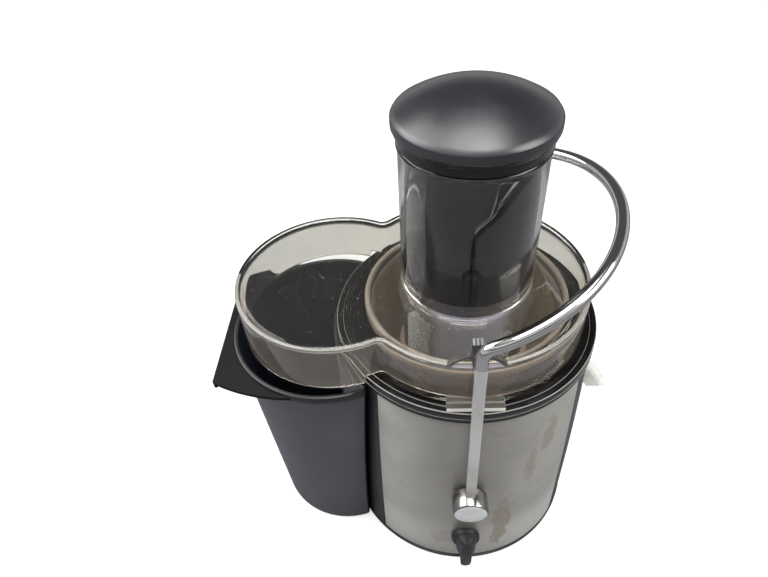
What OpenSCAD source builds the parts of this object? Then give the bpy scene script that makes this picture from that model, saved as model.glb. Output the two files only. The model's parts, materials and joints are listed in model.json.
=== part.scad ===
// Centrifugal juicer: motor base, juice bowl, spinning filter basket, clear lid with a wide feed tube,
// pusher, locking bail and side pulp bin. Millimetres, +Z up. The origin is under the middle of the
// whole juicer at table level. +X is the spout side, -X the pulp bin, -Y the front with the switch.

/* [Motor base] */
// Outer radius of the steel wall at the table
base_r = 90.6; // [89:0.1:92]
// How far the wall draws in on its way up
belly = 4.5; // [3:0.1:5]
// Height of the base's top edge above the table
base_h = 183; // [180:1:188]
// Thickness of the moulded housing wall
wall = 2.6; // [2:0.1:3]
// Thickness of the steel sheets
steel_t = 0.7; // [0.5:0.1:1]
// Half angle of the bare black strip on the spout side
strip_angle = 36; // [30:1:42]
// Angle from the spout at which the steel ends beside the pulp bin
steel_end = 133; // [125:1:134]
// Height of the deck that the bowl stands over
deck_z = 112; // [110:1:114]
// Radius of the circle of feet
foot_circle = 72; // [66:1:74]

/* [Juice bowl] */
// Outer radius of the bowl's wall
bowl_r = 78.5; // [77:0.5:80]
// Underside of the bowl's floor
bowl_z = 122; // [120:1:124]
// Outer radius of the black ring round the bowl
ring_r = 88; // [87:0.5:89]
// Height of the black ring
ring_h = 10; // [9:0.5:11]
// How far the spout reaches from the drive axis
spout_reach = 113; // [108:1:118]
// Half width of the spout
spout_w = 6; // [5:0.5:8]
// Height of the spout's mouth
mouth_z = 110; // [108:1:112]

/* [Filter basket] */
// Outer radius of the basket's rim
basket_r = 67.5; // [65:0.5:69]
// Radius of the grater disc
disc_r = 41; // [38:0.5:42]
// Number of ribs that hold the sieve
basket_ribs = 12; // [6:1:16]

/* [Lid and feed tube] */
// Outer radius of the lid over the bowl
lid_r = 78.8; // [78:0.1:80]
// Height of the lid, from its seat to its rim
lid_h = 29.5; // [27:0.5:32]
// Radius of the lid's lobe over the pulp bin
lobe_r = 65; // [62:0.5:67]
// Distance from the drive axis to the middle of the lobe
lobe_x = 87; // [84:0.5:90]
// Outer radius of the feed tube
tube_r = 42; // [41:0.5:43]
// Wall of the lid and the feed tube
clear_t = 2.4; // [2:0.1:2.4]
// Height of the feed tube above the lid's rim
tube_h = 98.5; // [90:0.5:104]

/* [Pusher] */
// Radius of the pusher's widest edge
cap_r = 45.4; // [44.5:0.1:46.5]
// Height of the pusher's domed cap over the tube
cap_h = 29.5; // [27:0.5:31]
// Length of the pusher inside the tube
pusher_l = 91; // [80:1:96]

/* [Pulp bin] */
// Distance from the drive axis to the middle of the bin
bin_x = 95; // [94:0.5:96]
// Radius of the bin at its foot
bin_r_foot = 57; // [55:0.5:58]
// Radius of the bin at its rim
bin_r_rim = 66.5; // [65:0.5:67]
// How far the grip reaches from the drive axis
grip_reach = 168; // [166:1:172]
// Half length of the grip's straight end
grip_half = 50.5; // [46:0.5:52]

/* [Locking bail] */
// Height of the pivots
pivot_z = 103; // [102:1:104]
// Radius of the bail's bow
bow_r = 90; // [90:0.5:91]
// Radius of the bail's round rod
rod_r = 3.8; // [3.4:0.1:4.2]
// Slope of the bow
bow_tilt = 20; // [18:1:22]
// Width of the flat legs
leg_w = 6.6; // [6:0.2:7.5]
// Depth of the flat legs
leg_t = 4.8; // [4:0.2:5.4]

/* [Switch] */
// Height of the switch knob's axis
knob_z = 42; // [40:1:46]
// Length of the knob's grip below its axis
knob_tail = 24; // [20:1:26]

/* [Hidden] */

$fn = 96;
eps = 0.01;
run = 0.05;             // running clearance round a shaft or pin
air = 0.4;              // gap between bodies that pass each other
drive_x = (grip_reach - spout_reach) / 2;
foot_h = 2.5;
floor_z = foot_h;       // underside of the base plate
plate_t = 2.5;
deck_t = 3;

ring_z = base_h;                    // the black ring stands on the base
seat_z = ring_z + ring_h + 3;       // the bowl's flange, on which the lid sits
flange_t = 3;
flange_r = bowl_r + 3.5;
bowl_t = 2.5;                       // wall of the bowl
spout_t = 1.8;                      // wall of the spout
sheet_z0 = 6;                       // the steel sheets' lower and upper edge
sheet_z1 = base_h - 1.5;
lid_z = seat_z + lid_h;             // the lid's rim
lid_top_z = lid_z - 1.2;            // the lid's top face, a little below its rim
lobe_skirt = 6;                     // the lobe reaches below the lid's seat by this
tube_top = lid_z + tube_h;
disc_z = 154;
tube_end = disc_z + 7;
hump_z = lid_z + 8;                 // top of the cam under each bail lug
cam_r = 20.6;
lug_z = hump_z + air;
tab_w = 17;
tab_r = 86.4;                       // how far the lid's tabs reach over the ring

shaft_r = 4;
bearing_r = 11;
bearing_h = 7;
stator_z = 38;
stator_h = 38;
screw_xy = 29;                      // motor screws at the stator's four corners
coupling_z = 134;

pin_r = 4;
pivot_cap_r = 12;
pivot_face = 105;                   // outer face of the pivot caps, from the middle
pivot_inner = 91.2;
leg_foot_y = 97;
spindle_r = 3;
cord_z = 17;                        // height of the cord inlet at the rear
screw_circle = 79;                  // circle of the base screws

// --- shared shapes -------------------------------------------------------------------------------

function wall_r(z) = base_r - belly * pow(z / base_h, 2);
function wall_points(grow, z0, z1, n) =
    [for (i = [0:n]) let (z = z0 + (z1 - z0) * i / n) [wall_r(z) + grow, z]];
function wall_profile(grow, z0, z1, n = 8) = concat([[0, z0]], wall_points(grow, z0, z1, n), [[0, z1]]);
// Centre of the small circle that fills the neck between two circles r1 and r2 that are d apart
function neck(r1, r2, d, rf) =
    let (a = r1 + rf, b = r2 + rf, x = (a * a - b * b + d * d) / (2 * d)) [-x, sqrt(a * a - x * x)];

// Everything is modelled round the drive axis, then moved so that the whole stands on the origin
module place() translate([drive_x, 0, 0]) children();

module front_and_rear() {
    children();
    mirror([0, 1, 0]) children();
}

module at_angles(angles, r) for (a = angles) rotate([0, 0, a]) translate([r, 0, 0]) children();

module disc(r, z0, z1) translate([0, 0, z0]) cylinder(r = r, h = z1 - z0);

module ring(r_in, r_out, z0, z1) difference() {
    disc(r_out, z0, z1);
    disc(r_in, z0 - 1, z1 + 1);
}

module block(x, y, z) translate([x[0], y[0], z[0]]) cube([x[1] - x[0], y[1] - y[0], z[1] - z[0]]);

// A cylinder along Y, from y0 to y1, at the given x and z
module along_y(r, y0, y1, x = 0, z = 0)
    translate([x, y1, z]) rotate([90, 0, 0]) cylinder(r = r, h = y1 - y0);

// --- motor base ----------------------------------------------------------------------------------

module steel_sheet(from, grow) rotate([0, 0, from]) rotate_extrude(angle = steel_end - strip_angle)
    polygon(concat(wall_points(grow, sheet_z0, sheet_z1, 8), wall_points(-steel_t, sheet_z1, sheet_z0, 8)));

screw_angles = [20, 160, 200, 340];
foot_angles = [45, 135, 225, 315];

module motor_housing() place() color("#1c1c1f") difference() {
    union() {
        difference() {
            union() {
                rotate_extrude() polygon(wall_profile(0, floor_z - 0.5, base_h));
                disc(base_r + 0.6, floor_z - 0.5, 5);
            }
            rotate_extrude() polygon(wall_profile(-wall - steel_t, 0, deck_z - deck_t));
            rotate_extrude() polygon(wall_profile(-wall - steel_t, deck_z, base_h + 1));
        }
        // Bearing boss under the deck, shaft boss above it
        disc(bearing_r + 3, 96, deck_z - deck_t + 1);
        disc(14, deck_z - 1, 132);
        // Posts for the motor and for the base plate
        for (x = [-1, 1], y = [-1, 1])
            translate([x * screw_xy, y * screw_xy, 84]) cylinder(r = 5, h = deck_z - deck_t - 83);
        at_angles(screw_angles, screw_circle) disc(4.5, floor_z + plate_t, deck_z - deck_t + 1);
        // Stiffening ribs under the deck
        for (a = [0:60:300]) rotate([0, 0, a + 30]) block([bearing_r + 2, 76], [-1, 1], [102, deck_z - 1]);
    }
    disc(shaft_r + 1.5, 90, 140);
    disc(bearing_r, 90, 98 + bearing_h);
    disc(7, 128, 140);
    for (x = [-1, 1], y = [-1, 1]) translate([x * screw_xy, y * screw_xy, 80]) cylinder(r = 1.9, h = 20);
    at_angles(screw_angles, screw_circle) disc(1.6, 0, 25);
    steel_sheet(strip_angle, 2);
    steel_sheet(-steel_end, 2);
    // Spout slot, open at the top so that the bowl drops in
    block([60, 100], [-spout_w - 1.5, spout_w + 1.5], [deck_z + 0.5, base_h + 1]);
    front_and_rear() along_y(pin_r + run, -100, -70, 0, pivot_z);
    along_y(spindle_r + run, -100, -70, 0, knob_z);
    along_y(5.5, 70, 100, 0, cord_z);
}

module base_plate() place() color("#242427") difference() {
    union() {
        disc(base_r - wall - steel_t - 0.4, floor_z, floor_z + plate_t);
        at_angles(screw_angles, screw_circle) disc(4.5, floor_z, floor_z + plate_t);
        // Rib ring that stiffens the plate
        ring(56, 58, floor_z, floor_z + 8);
    }
    at_angles(screw_angles, screw_circle) disc(1.9, 0, 20);
    at_angles(screw_angles, screw_circle) disc(3.6, 0, floor_z + 1);
    at_angles(foot_angles, foot_circle) disc(4, 0, 20);
    // Air slots under the fan
    for (a = [0:15:345]) rotate([0, 0, a]) block([24, 50], [-1.5, 1.5], [0, 20]);
}

module feet() place() color("#303030") at_angles(foot_angles, foot_circle) difference() {
    union() {
        disc(8, 0, floor_z);
        disc(4, floor_z, floor_z + plate_t);
        disc(5.2, floor_z + plate_t, floor_z + plate_t + 1.5);
    }
    disc(2, -1, 1.2);
}

module base_screws() place() color("silver") at_angles(screw_angles, screw_circle) difference() {
    union() {
        disc(3.3, 1.4, floor_z + 1);
        disc(1.6, floor_z + 1 - eps, 20);
    }
    block([-2.4, 2.4], [-0.4, 0.4], [0, 2]);
    block([-0.4, 0.4], [-2.4, 2.4], [0, 2]);
}

module front_steel_wrap() place() color("#a3a39d") difference() {
    steel_sheet(-steel_end, 0);
    along_y(pin_r + run, -100, -70, 0, pivot_z);
    along_y(spindle_r + 1, -100, -70, 0, knob_z);
}

module rear_steel_wrap() place() color("#a3a39d") difference() {
    steel_sheet(strip_angle, 0);
    along_y(pin_r + run, 70, 100, 0, pivot_z);
    along_y(5.5, 70, 100, 0, cord_z);
}

module cord_gland() place() color("#17171a") difference() {
    union() {
        along_y(8, 90.8, 93, 0, cord_z);
        along_y(5.5, 84, 91, 0, cord_z);
        along_y(7, 82, 84.6, 0, cord_z);
    }
    along_y(4, 80, 95, 0, cord_z);
}

module pivot_pins() place() color("silver") front_and_rear() union() {
    along_y(pin_r, -101, -78, 0, pivot_z);
    along_y(5.8, -80.5, -78, 0, pivot_z);
}

// --- motor ---------------------------------------------------------------------------------------

module motor_stator() place() color("#77787c") difference() {
    intersection() {
        block([-37, 37], [-37, 37], [stator_z, stator_z + stator_h]);
        disc(47, stator_z - 1, stator_z + stator_h + 1);
    }
    disc(23.4, 0, 100);
    // Winding slots beside the two poles
    for (s = [-1, 1]) block([-27, 27], [s * 20 - 5, s * 20 + 5], [0, 100]);
    for (x = [-1, 1], y = [-1, 1]) translate([x * screw_xy, y * screw_xy, 0]) cylinder(r = 2.2, h = 100);
}

module field_coils() place() color("#b5652b") for (s = [0, 180]) rotate([0, 0, s]) union() {
    for (z = [stator_z - 7, stator_z + stator_h]) rotate([0, 0, 40]) rotate_extrude(angle = 100)
        translate([25, z]) square([9, 7]);
    for (x = [-25.5, 18.5]) block([x, x + 7], [16, 24], [stator_z - eps, stator_z + stator_h + eps]);
}

module motor_bracket() place() color("#9a9ca0") difference() {
    union() {
        disc(15, 9, 20);
        for (a = [45, 135]) rotate([0, 0, a]) {
            block([-45, 45], [-6, 6], [17, 20]);
            for (s = [-1, 1]) block([s * 41 - 4, s * 41 + 4], [-6, 6], [17, stator_z - 1]);
        }
    }
    disc(bearing_r, 10, 10 + bearing_h);
    disc(shaft_r + 1.5, 0, 30);
    for (x = [-1, 1], y = [-1, 1]) translate([x * screw_xy, y * screw_xy, 0]) cylinder(r = 2.2, h = 100);
}

module motor_bushes() place() color("#3a3a3a") for (x = [-1, 1], y = [-1, 1])
    translate([x * screw_xy, y * screw_xy, 0]) {
        ring(2.2, 5.5, stator_z + stator_h, 84);
        ring(2.2, 5.5, stator_z - 1, stator_z);
    }

module motor_screws() place() color("silver") for (x = [-1, 1], y = [-1, 1])
    translate([x * screw_xy, y * screw_xy, 0]) union() {
        disc(1.9, 16, 98);
        disc(3.8, 13.4, 17);
    }

module bearings() place() color("#c9cbd0") for (z = [10, 98]) difference() {
    ring(shaft_r + run, bearing_r, z, z + bearing_h);
    ring(6.2, 8.8, z - 1, z + 0.8);
    ring(6.2, 8.8, z + bearing_h - 0.8, z + bearing_h + 1);
}

module brush_holders() place() color("#8a5a30") for (s = [0, 180]) rotate([0, 0, s]) difference() {
    union() {
        block([12, 32], [-4.5, 4.5], [85.5, 94.5]);
        block([20, 26], [-9, 9], [94, 96]);
    }
    block([11, 30], [-2.5, 2.5], [87.5, 92.5]);
}

module switch_body() place() color("#2b2b30") difference() {
    union() {
        block([-15, 15], [-84, -62], [knob_z - 14, knob_z + 14]);
        for (x = [-8, 8], z = [-7, 7])
            block([x - 0.4, x + 0.4], [-62, -56], [knob_z + z - 3, knob_z + z + 3]);
    }
    along_y(spindle_r + run, -90, -66, 0, knob_z);
}

module interlock_switch() place() color("#31343a") union() {
    block([9, 29], [-80.5, -74], [92, 104]);
    block([10, 27], [-79, -77], [103.9, 105]);
}

module shaft_seal() place() color("#5b2f2a") ring(shaft_r + run, 7, 128, 132);

// --- juice bowl ----------------------------------------------------------------------------------

module lid_tab_cut(grow) front_and_rear()
    block([-tab_w - grow, tab_w + grow], [-100, -80.4], [seat_z - flange_t - 1, seat_z + 1]);

// The spout's hood slopes from the bowl's wall down to its tip
hood_top = [88, 150];
hood_tip = [spout_reach, mouth_z];
mouth_x = 96.5;                     // the mouth's edge beside the base
hood_tilt = atan((hood_tip[0] - hood_top[0]) / (hood_top[1] - hood_tip[1]));

function spout_side(t) = [
    [bowl_r - 4, bowl_z - 4 + t], [93, mouth_z + 6 + t], [mouth_x + t, mouth_z - 2 * t],
    [spout_reach + t, mouth_z - 2 * t], hood_top, [bowl_r - 4, hood_top[1]]
];

// Solid form of the spout, t inside its outer faces: its side view, with a round back along the hood
module spout_solid(t, half_w) intersection() {
    translate([0, half_w + 1, 0]) rotate([90, 0, 0]) linear_extrude(2 * half_w + 2) polygon(spout_side(t));
    translate([hood_tip[0], 0, hood_tip[1]]) rotate([0, -hood_tilt, 0])
        translate([-t - half_w, 0, -20]) linear_extrude(90) union() {
            circle(r = half_w);
            translate([-60, -half_w]) square([60, 2 * half_w]);
        }
}

module juice_bowl() place() color("#9b938780") difference() {
    union() {
        difference() {
            union() {
                difference() {
                    disc(bowl_r, bowl_z, seat_z - flange_t + 1);
                    // Dished corner under the bowl
                    ring(bowl_r - 6, bowl_r + 1, bowl_z - 1, bowl_z + 5);
                }
                translate([0, 0, bowl_z + 5]) rotate_extrude() translate([bowl_r - 6, 0]) intersection() {
                    scale([1, 5 / 6]) circle(r = 6);
                    translate([0, -6]) square([7, 6.01]);
                }
                disc(flange_r, seat_z - flange_t, seat_z);
            }
            disc(bowl_r - bowl_t, bowl_z + bowl_t + 5, seat_z + 1);
            translate([0, 0, bowl_z + bowl_t])
                cylinder(r1 = bowl_r - bowl_t - 5, r2 = bowl_r - bowl_t, h = 5 + eps);
            // Port for the spout
            spout_solid(-0.05, spout_w + 0.05);
        }
        disc(20.5, bowl_z, bowl_z + 22);
    }
    disc(18, bowl_z - 1, bowl_z + 30);
    lid_tab_cut(0.4);
}

module juice_spout() place() color("#d8d8d2b0") difference() {
    union() {
        spout_solid(0, spout_w);
        // Rim that seats against the outside of the bowl
        intersection() {
            block([70, bowl_r + 3], [-spout_w - 1.2, spout_w + 1.2], [bowl_z + 6, hood_top[1] + 1.2]);
            ring(bowl_r + 0.1, bowl_r + 1.6, 100, 200);
        }
    }
    spout_solid(spout_t, spout_w - spout_t);
    // Its root follows the bowl's inner wall
    disc(bowl_r - bowl_t, 100, 200);
    disc(200, 80, mouth_z);
}

module bowl_ring() place() color("#111113") translate([0, 0, ring_z]) rotate_extrude() polygon([
    [bowl_r, 0], [ring_r - 1.6, 0], [ring_r - 1.6, 0.8],
    // Outer wall with a seam line half way up, and a chamfered top edge
    [ring_r, 0.8], [ring_r, 4.6], [ring_r - 0.8, 4.6], [ring_r - 0.8, 5.4], [ring_r - 0.2, 5.4],
    [ring_r - 0.2, ring_h - 0.7], [ring_r - 0.9, ring_h],
    // Drip groove on the top face
    [ring_r - 3.2, ring_h], [ring_r - 3.5, ring_h - 0.6], [ring_r - 4.4, ring_h - 0.6],
    [ring_r - 4.7, ring_h], [bowl_r, ring_h]
]);

module bowl_seal() place() color("#404040") union() {
    ring(14, 18, bowl_z, bowl_z + 4);
    ring(14, 21, bowl_z - 2, bowl_z);
}

// --- lid -----------------------------------------------------------------------------------------

neck_r = 6;

module lid_outline(grow) {
    c = neck(lid_r, lobe_r, lobe_x, neck_r);
    circle(r = lid_r + grow);
    translate([-lobe_x, 0]) circle(r = lobe_r + grow);
    difference() {
        polygon([[0, 0], [c[0], c[1]], [-lobe_x, 0], [c[0], -c[1]]]);
        // A hair over the tangent size, so that the arcs cross
        for (s = [-1, 1]) translate([c[0], s * c[1]]) circle(r = neck_r - grow + 0.06);
    }
}

module lid_slab(grow, z0, z1) translate([0, 0, z0]) linear_extrude(z1 - z0) lid_outline(grow);

// Arch over each window of the rim, which a bail lug presses on
module lid_cam() intersection() {
    difference() {
        along_y(cam_r, -77.5, -73.5, 0, hump_z - cam_r);
        along_y(cam_r - 2, -80, -70, 0, hump_z - cam_r);
    }
    block([-30, 30], [-90, -60], [lid_top_z - 1, hump_z + 1]);
}

module lid() place() color("#c9c6ba60") difference() {
    union() {
        difference() {
            union() {
                lid_slab(0, seat_z, lid_z);
                // The lobe's skirt reaches lower, beside the bowl
                difference() {
                    intersection() {
                        lid_slab(0, seat_z - lobe_skirt, seat_z + 1);
                        block([-200, -50], [-100, 100], [0, 300]);
                    }
                    disc(ring_r + 0.8, 0, 300);
                }
            }
            lid_slab(-clear_t, 0, lid_top_z - clear_t);
            lid_slab(-clear_t, lid_top_z, lid_z + 1);
            // Front and rear windows in the rim, in front of each cam
            front_and_rear() block([-tab_w, tab_w], [-90, -74], [lid_top_z, lid_z + 1]);
        }
        front_and_rear() {
            lid_cam();
            // Tab that drops into the notch of the bowl's edge
            intersection() {
                union() {
                    block([-tab_w, tab_w], [-100, -80.8], [ring_z + ring_h + 0.4, seat_z + 0.8]);
                    block([-tab_w, tab_w], [-100, -76], [seat_z, seat_z + 0.8]);
                }
                disc(tab_r, 0, 300);
            }
        }
    }
    disc(tube_r + 0.05, 0, 300);
}

module feed_tube() place() color("#c9c6ba60") difference() {
    union() {
        disc(tube_r, tube_end, tube_top);
        // Shoulder that is bonded to the underside of the lid
        disc(tube_r + 3, lid_top_z - clear_t - 2, lid_top_z - clear_t);
        // Rolled lip at the mouth
        translate([0, 0, tube_top - 2]) rotate_extrude() translate([tube_r - 1, 0]) circle(r = 1.6);
    }
    disc(tube_r - clear_t, tube_end - 1, tube_top + 5);
}

// --- rotor ---------------------------------------------------------------------------------------

module motor_shaft() place() color("silver") difference() {
    disc(shaft_r, 9, coupling_z + 17);
    // Flats that drive the coupling
    for (s = [-1, 1]) block([s * 5 - 2, s * 5 + 2], [-6, 6], [coupling_z, coupling_z + 18]);
}

module armature() place() color("#84858a") difference() {
    union() {
        disc(22.6, stator_z + 1, stator_z + stator_h - 1);
        disc(17, stator_z - 5, stator_z + stator_h + 5);
    }
    disc(shaft_r, 0, 100);
    for (a = [0:30:330]) rotate([0, 0, a]) block([18.5, 24], [-1, 1], [stator_z, stator_z + stator_h]);
}

module commutator() place() color("#b87333") difference() {
    ring(shaft_r, 11, 83, 96);
    for (a = [0:30:330]) rotate([0, 0, a]) block([10, 12], [-0.4, 0.4], [85, 97]);
}

module cooling_fan() place() color("#e4e2da") union() {
    ring(shaft_r, 9, 21.5, 30);
    ring(8.9, 33, 29, 30.5);
    for (a = [0:36:324]) rotate([0, 0, a]) translate([8.5, 0, 21.5]) rotate([0, 0, 18])
        block([0, 22], [-0.8, 0.8], [0, 8]);
}

module coupling_shape(grow, z0, z1) translate([0, 0, z0]) linear_extrude(z1 - z0) union() {
    circle(r = 8.5 + grow);
    for (a = [0:60:300]) rotate(a) translate([0, -2.2 - grow]) square([12 + grow, 4.4 + 2 * grow]);
}

module drive_coupling() place() color("#2a2a2d") difference() {
    union() {
        coupling_shape(0, coupling_z + 4, coupling_z + 15);
        disc(13, coupling_z, coupling_z + 4);
    }
    difference() {
        disc(shaft_r, 100, 200);
        for (s = [-1, 1]) block([s * 5 - 2, s * 5 + 2], [-6, 6], [coupling_z, coupling_z + 18]);
    }
}

sieve_foot = [disc_r + 2.5, disc_z + 0.5];
sieve_top = [basket_r - 4, seat_z + 7];

module filter_basket() place() color("#b3ab9c") difference() {
    union() {
        // Carrier plate, base ring and its curved foot
        disc(disc_r + 4.5, disc_z - 4, disc_z);
        ring(disc_r + 0.2, disc_r + 4.5, disc_z - 4, disc_z + 5);
        // Rim with its rolled edge
        ring(basket_r - 4, basket_r, seat_z + 6, seat_z + 12);
        translate([0, 0, seat_z + 12]) rotate_extrude() translate([basket_r - 2, 0]) circle(r = 2);
        // Ribs outside the sieve
        for (i = [0:basket_ribs - 1]) rotate([0, 0, 360 * i / basket_ribs]) rotate([90, 0, 0])
            translate([0, 0, -1]) linear_extrude(2) polygon([
                [sieve_foot[0] + 1, disc_z], [sieve_foot[0] + 3, disc_z],
                [basket_r - 0.5, seat_z + 7], [sieve_top[0] + 1.2, seat_z + 7]
            ]);
        // Socket for the coupling and the skirt round the bowl's hub
        disc(16, coupling_z + 4, disc_z - 3);
        ring(22.5, 25, disc_z - 16, disc_z - 3);
        for (a = [0:45:315]) rotate([0, 0, a]) block([24, disc_r + 1], [-1, 1], [disc_z - 8, disc_z - 3]);
    }
    coupling_shape(0.15, coupling_z - 1, coupling_z + 15.2);
    disc(shaft_r + 0.3, 100, disc_z - 1);
    disc(2.2, 100, 200);
    sieve_shell();
}

module sieve_shell() rotate_extrude() polygon([
    sieve_foot, [sieve_foot[0] + 0.9, sieve_foot[1]], [sieve_top[0] + 0.9, sieve_top[1]],
    [sieve_top[0] + 0.9, sieve_top[1] + 1.5], [sieve_top[0], sieve_top[1] + 1.5], sieve_top
]);

module sieve() place() color("#8c8272") sieve_shell();

module tooth(h)
    rotate([90, 0, 0]) translate([0, 0, -0.8]) linear_extrude(1.6) polygon([[0, 0], [3, 0], [0.4, h]]);

module grater_disc() place() color("#b9bcc0") difference() {
    union() {
        disc(disc_r, disc_z, disc_z + 1.2);
        for (row = [0:4]) let (r = 14 + 5.6 * row, n = 6 + 4 * row)
            for (i = [0:n - 1]) rotate([0, 0, 360 * i / n + 11 * row]) translate([r, 0, disc_z + 1.1])
                rotate([0, 0, 90]) tooth(2.2);
    }
    disc(2.2, 100, 200);
}

module disc_hub() place() color("#8f9195") union() {
    translate([0, 0, disc_z + 1.2]) cylinder(r1 = 9, r2 = 5.5, h = 3.5);
    disc(2.2, disc_z - 1, disc_z + 1.3);
}

// --- pusher --------------------------------------------------------------------------------------

pusher_r = tube_r - clear_t - 0.7;
cap_z = tube_top + air;
edge_z = cap_z + 14;                // the cap's widest edge

module pusher_body() place() color("#2c2d33") difference() {
    union() {
        disc(pusher_r, cap_z - pusher_l + 29, cap_z);
        disc(pusher_r - 0.6, cap_z - pusher_l + 1.5, cap_z - pusher_l + 29 + eps);
        translate([0, 0, cap_z - pusher_l]) cylinder(r1 = pusher_r - 2, r2 = pusher_r - 0.6, h = 1.51);
    }
    disc(pusher_r - 3, cap_z - pusher_l + 2.5, cap_z + 1);
    // Keyway down the front
    block([-2, 2], [-pusher_r - 1, -pusher_r + 1.4], [cap_z - pusher_l - 1, cap_z - 8]);
}

function dome_r(rise, r) = (rise * rise + r * r) / (2 * rise);

module pusher_cap() place() color("#232428") union() {
    // Collar that rests on the tube's mouth
    ring(pusher_r - 6, tube_r + 0.8, cap_z, cap_z + 5);
    ring(pusher_r - 5.5, pusher_r - 3, cap_z - 8, cap_z + 1);
    disc(cap_r - 1.6, cap_z + 4, edge_z - 5);
    // Stepped edge and shallow dome
    disc(cap_r - 0.5, cap_z + 6, edge_z - 4);
    disc(cap_r, edge_z - 5, edge_z);
    rise = cap_z + cap_h - 1 - edge_z;
    intersection() {
        translate([0, 0, cap_z + cap_h - 1 - dome_r(rise, cap_r)])
            sphere(r = dome_r(rise, cap_r), $fn = 128);
        disc(cap_r + 1, edge_z - eps, edge_z + 40);
    }
}

// --- pulp bin ------------------------------------------------------------------------------------

bin_z = 0.3;
bin_top = base_h - 0.6;
bin_wall = 2.4;
bin_gap = 1.2;

module bin_cone(grow, z0) translate([-bin_x, 0, z0])
    cylinder(r1 = bin_r_foot + grow, r2 = bin_r_rim + grow, h = bin_top - bin_z);

module beside_base(grow) rotate_extrude() polygon(wall_profile(grow, -1, base_h + 20));

// Where two wide arcs cross, cut straight at the finger edge
grip_r = 115;

module grip_outline() intersection() {
    intersection_for(k = [-1, 1])
        translate([-bin_x - 18, k * (grip_r - bin_r_rim + 2)]) circle(r = grip_r, $fn = 180);
    translate([-grip_reach, -80]) square([grip_reach - bin_x - 8, 160]);
}

module pulp_bin() place() color("#47464c") difference() {
    union() {
        difference() {
            bin_cone(0, bin_z);
            beside_base(bin_gap);
        }
        translate([0, 0, bin_top - 5]) linear_extrude(2.6) grip_outline();
        // Turned-down finger edge of the grip
        block([-grip_reach, -grip_reach + 2.2], [-grip_half, grip_half], [bin_top - 9, bin_top - 4]);
    }
    difference() {
        translate([0, 0, 3]) bin_cone(-bin_wall, bin_z);
        beside_base(bin_gap + bin_wall);
    }
    disc(ring_r + 0.6, bin_top - 1, 300);
}

// --- locking bail --------------------------------------------------------------------------------

elbow_r = 10;
elbow_turn = 90 - bow_tilt;
elbow_x = elbow_r * (1 - cos(elbow_turn));
bow_z = lid_z + 26.5;               // the bow's plane over the drive axis
elbow_z = bow_z + elbow_x * tan(bow_tilt) - elbow_r * sin(elbow_turn);
bow_start = asin(elbow_x / cos(bow_tilt) / bow_r);
leg_z = pivot_z + 8;
leg_lean = atan((leg_foot_y - bow_r) / (elbow_z - leg_z));
leg_l = (elbow_z - leg_z) / cos(leg_lean);

module leg(grow) translate([0, -leg_foot_y, leg_z]) rotate([-leg_lean, 0, 0])
    block([-leg_w / 2 - grow, leg_w / 2 + grow], [-leg_t / 2 - grow, leg_t / 2 + grow], [0, leg_l]);

module bail_rod() union() {
    translate([0, 0, bow_z]) rotate([0, -bow_tilt, 0]) rotate([0, 0, bow_start - 90])
        rotate_extrude(angle = 180 - 2 * bow_start) translate([bow_r, 0]) circle(r = rod_r, $fn = 48);
    front_and_rear() {
        leg(0);
        // Elbow from the leg into the bow
        translate([elbow_r, -bow_r, elbow_z]) rotate([-90, 0, 0]) rotate([0, 0, 180])
            rotate_extrude(angle = elbow_turn) translate([elbow_r, 0]) circle(r = rod_r, $fn = 48);
        translate([0, -bow_r, elbow_z]) sphere(r = rod_r + 0.15, $fn = 48);
        translate([elbow_x, -bow_r, bow_z + elbow_x * tan(bow_tilt)]) sphere(r = rod_r + 0.15, $fn = 48);
    }
}

module bail() place() color("#d2d4d8") bail_rod();

module pivot_caps() place() color("#c6c9cd") front_and_rear() difference() {
    union() {
        along_y(pivot_cap_r, -pivot_face + 1, -pivot_inner, 0, pivot_z);
        along_y(pivot_cap_r - 1, -pivot_face, -pivot_face + 1 + eps, 0, pivot_z);
    }
    along_y(pin_r + run, -101.5, -80, 0, pivot_z);
    leg(0.02);
}

module bail_lugs() place() color("#26262a") front_and_rear() difference() {
    union() {
        block([-4, 4], [-88.5, -78], [lug_z, lug_z + 11]);
        block([-3.3, 3.3], [-78.1, -72.4], [lug_z, lug_z + 8]);
        for (x = [-2.9, -0.6, 1.7]) block([x, x + 1.2], [-78, -72.4], [lug_z + 7.9, lug_z + 9]);
    }
    bail_rod();
}

// --- switch --------------------------------------------------------------------------------------

module switch_knob() place() color("#1b1b1e") difference() {
    union() {
        along_y(11, -96, -91.2, 0, knob_z);
        along_y(9.6, -97, -95.9, 0, knob_z);
        block([-3, 3], [-pivot_face, -91.2], [knob_z - knob_tail + 3, knob_z + 13]);
        along_y(3, -pivot_face, -91.2, 0, knob_z + 13);
        along_y(3, -pivot_face, -91.2, 0, knob_z - knob_tail + 3);
    }
    along_y(spindle_r, -98, -80, 0, knob_z);
}

module switch_spindle() place() color("#d8d6cc") along_y(spindle_r, -98, -67, 0, knob_z);

motor_housing();
base_plate();
feet();
base_screws();
front_steel_wrap();
rear_steel_wrap();
cord_gland();
pivot_pins();
motor_stator();
field_coils();
motor_bracket();
motor_bushes();
motor_screws();
bearings();
brush_holders();
switch_body();
interlock_switch();
shaft_seal();
juice_bowl();
juice_spout();
bowl_ring();
bowl_seal();
lid();
feed_tube();
motor_shaft();
armature();
commutator();
cooling_fan();
drive_coupling();
filter_basket();
sieve();
grater_disc();
disc_hub();
pusher_body();
pusher_cap();
pulp_bin();
bail();
pivot_caps();
bail_lugs();
switch_knob();
switch_spindle();
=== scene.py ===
import json
import math

import bmesh
import bpy
from mathutils import Matrix, Vector

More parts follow.
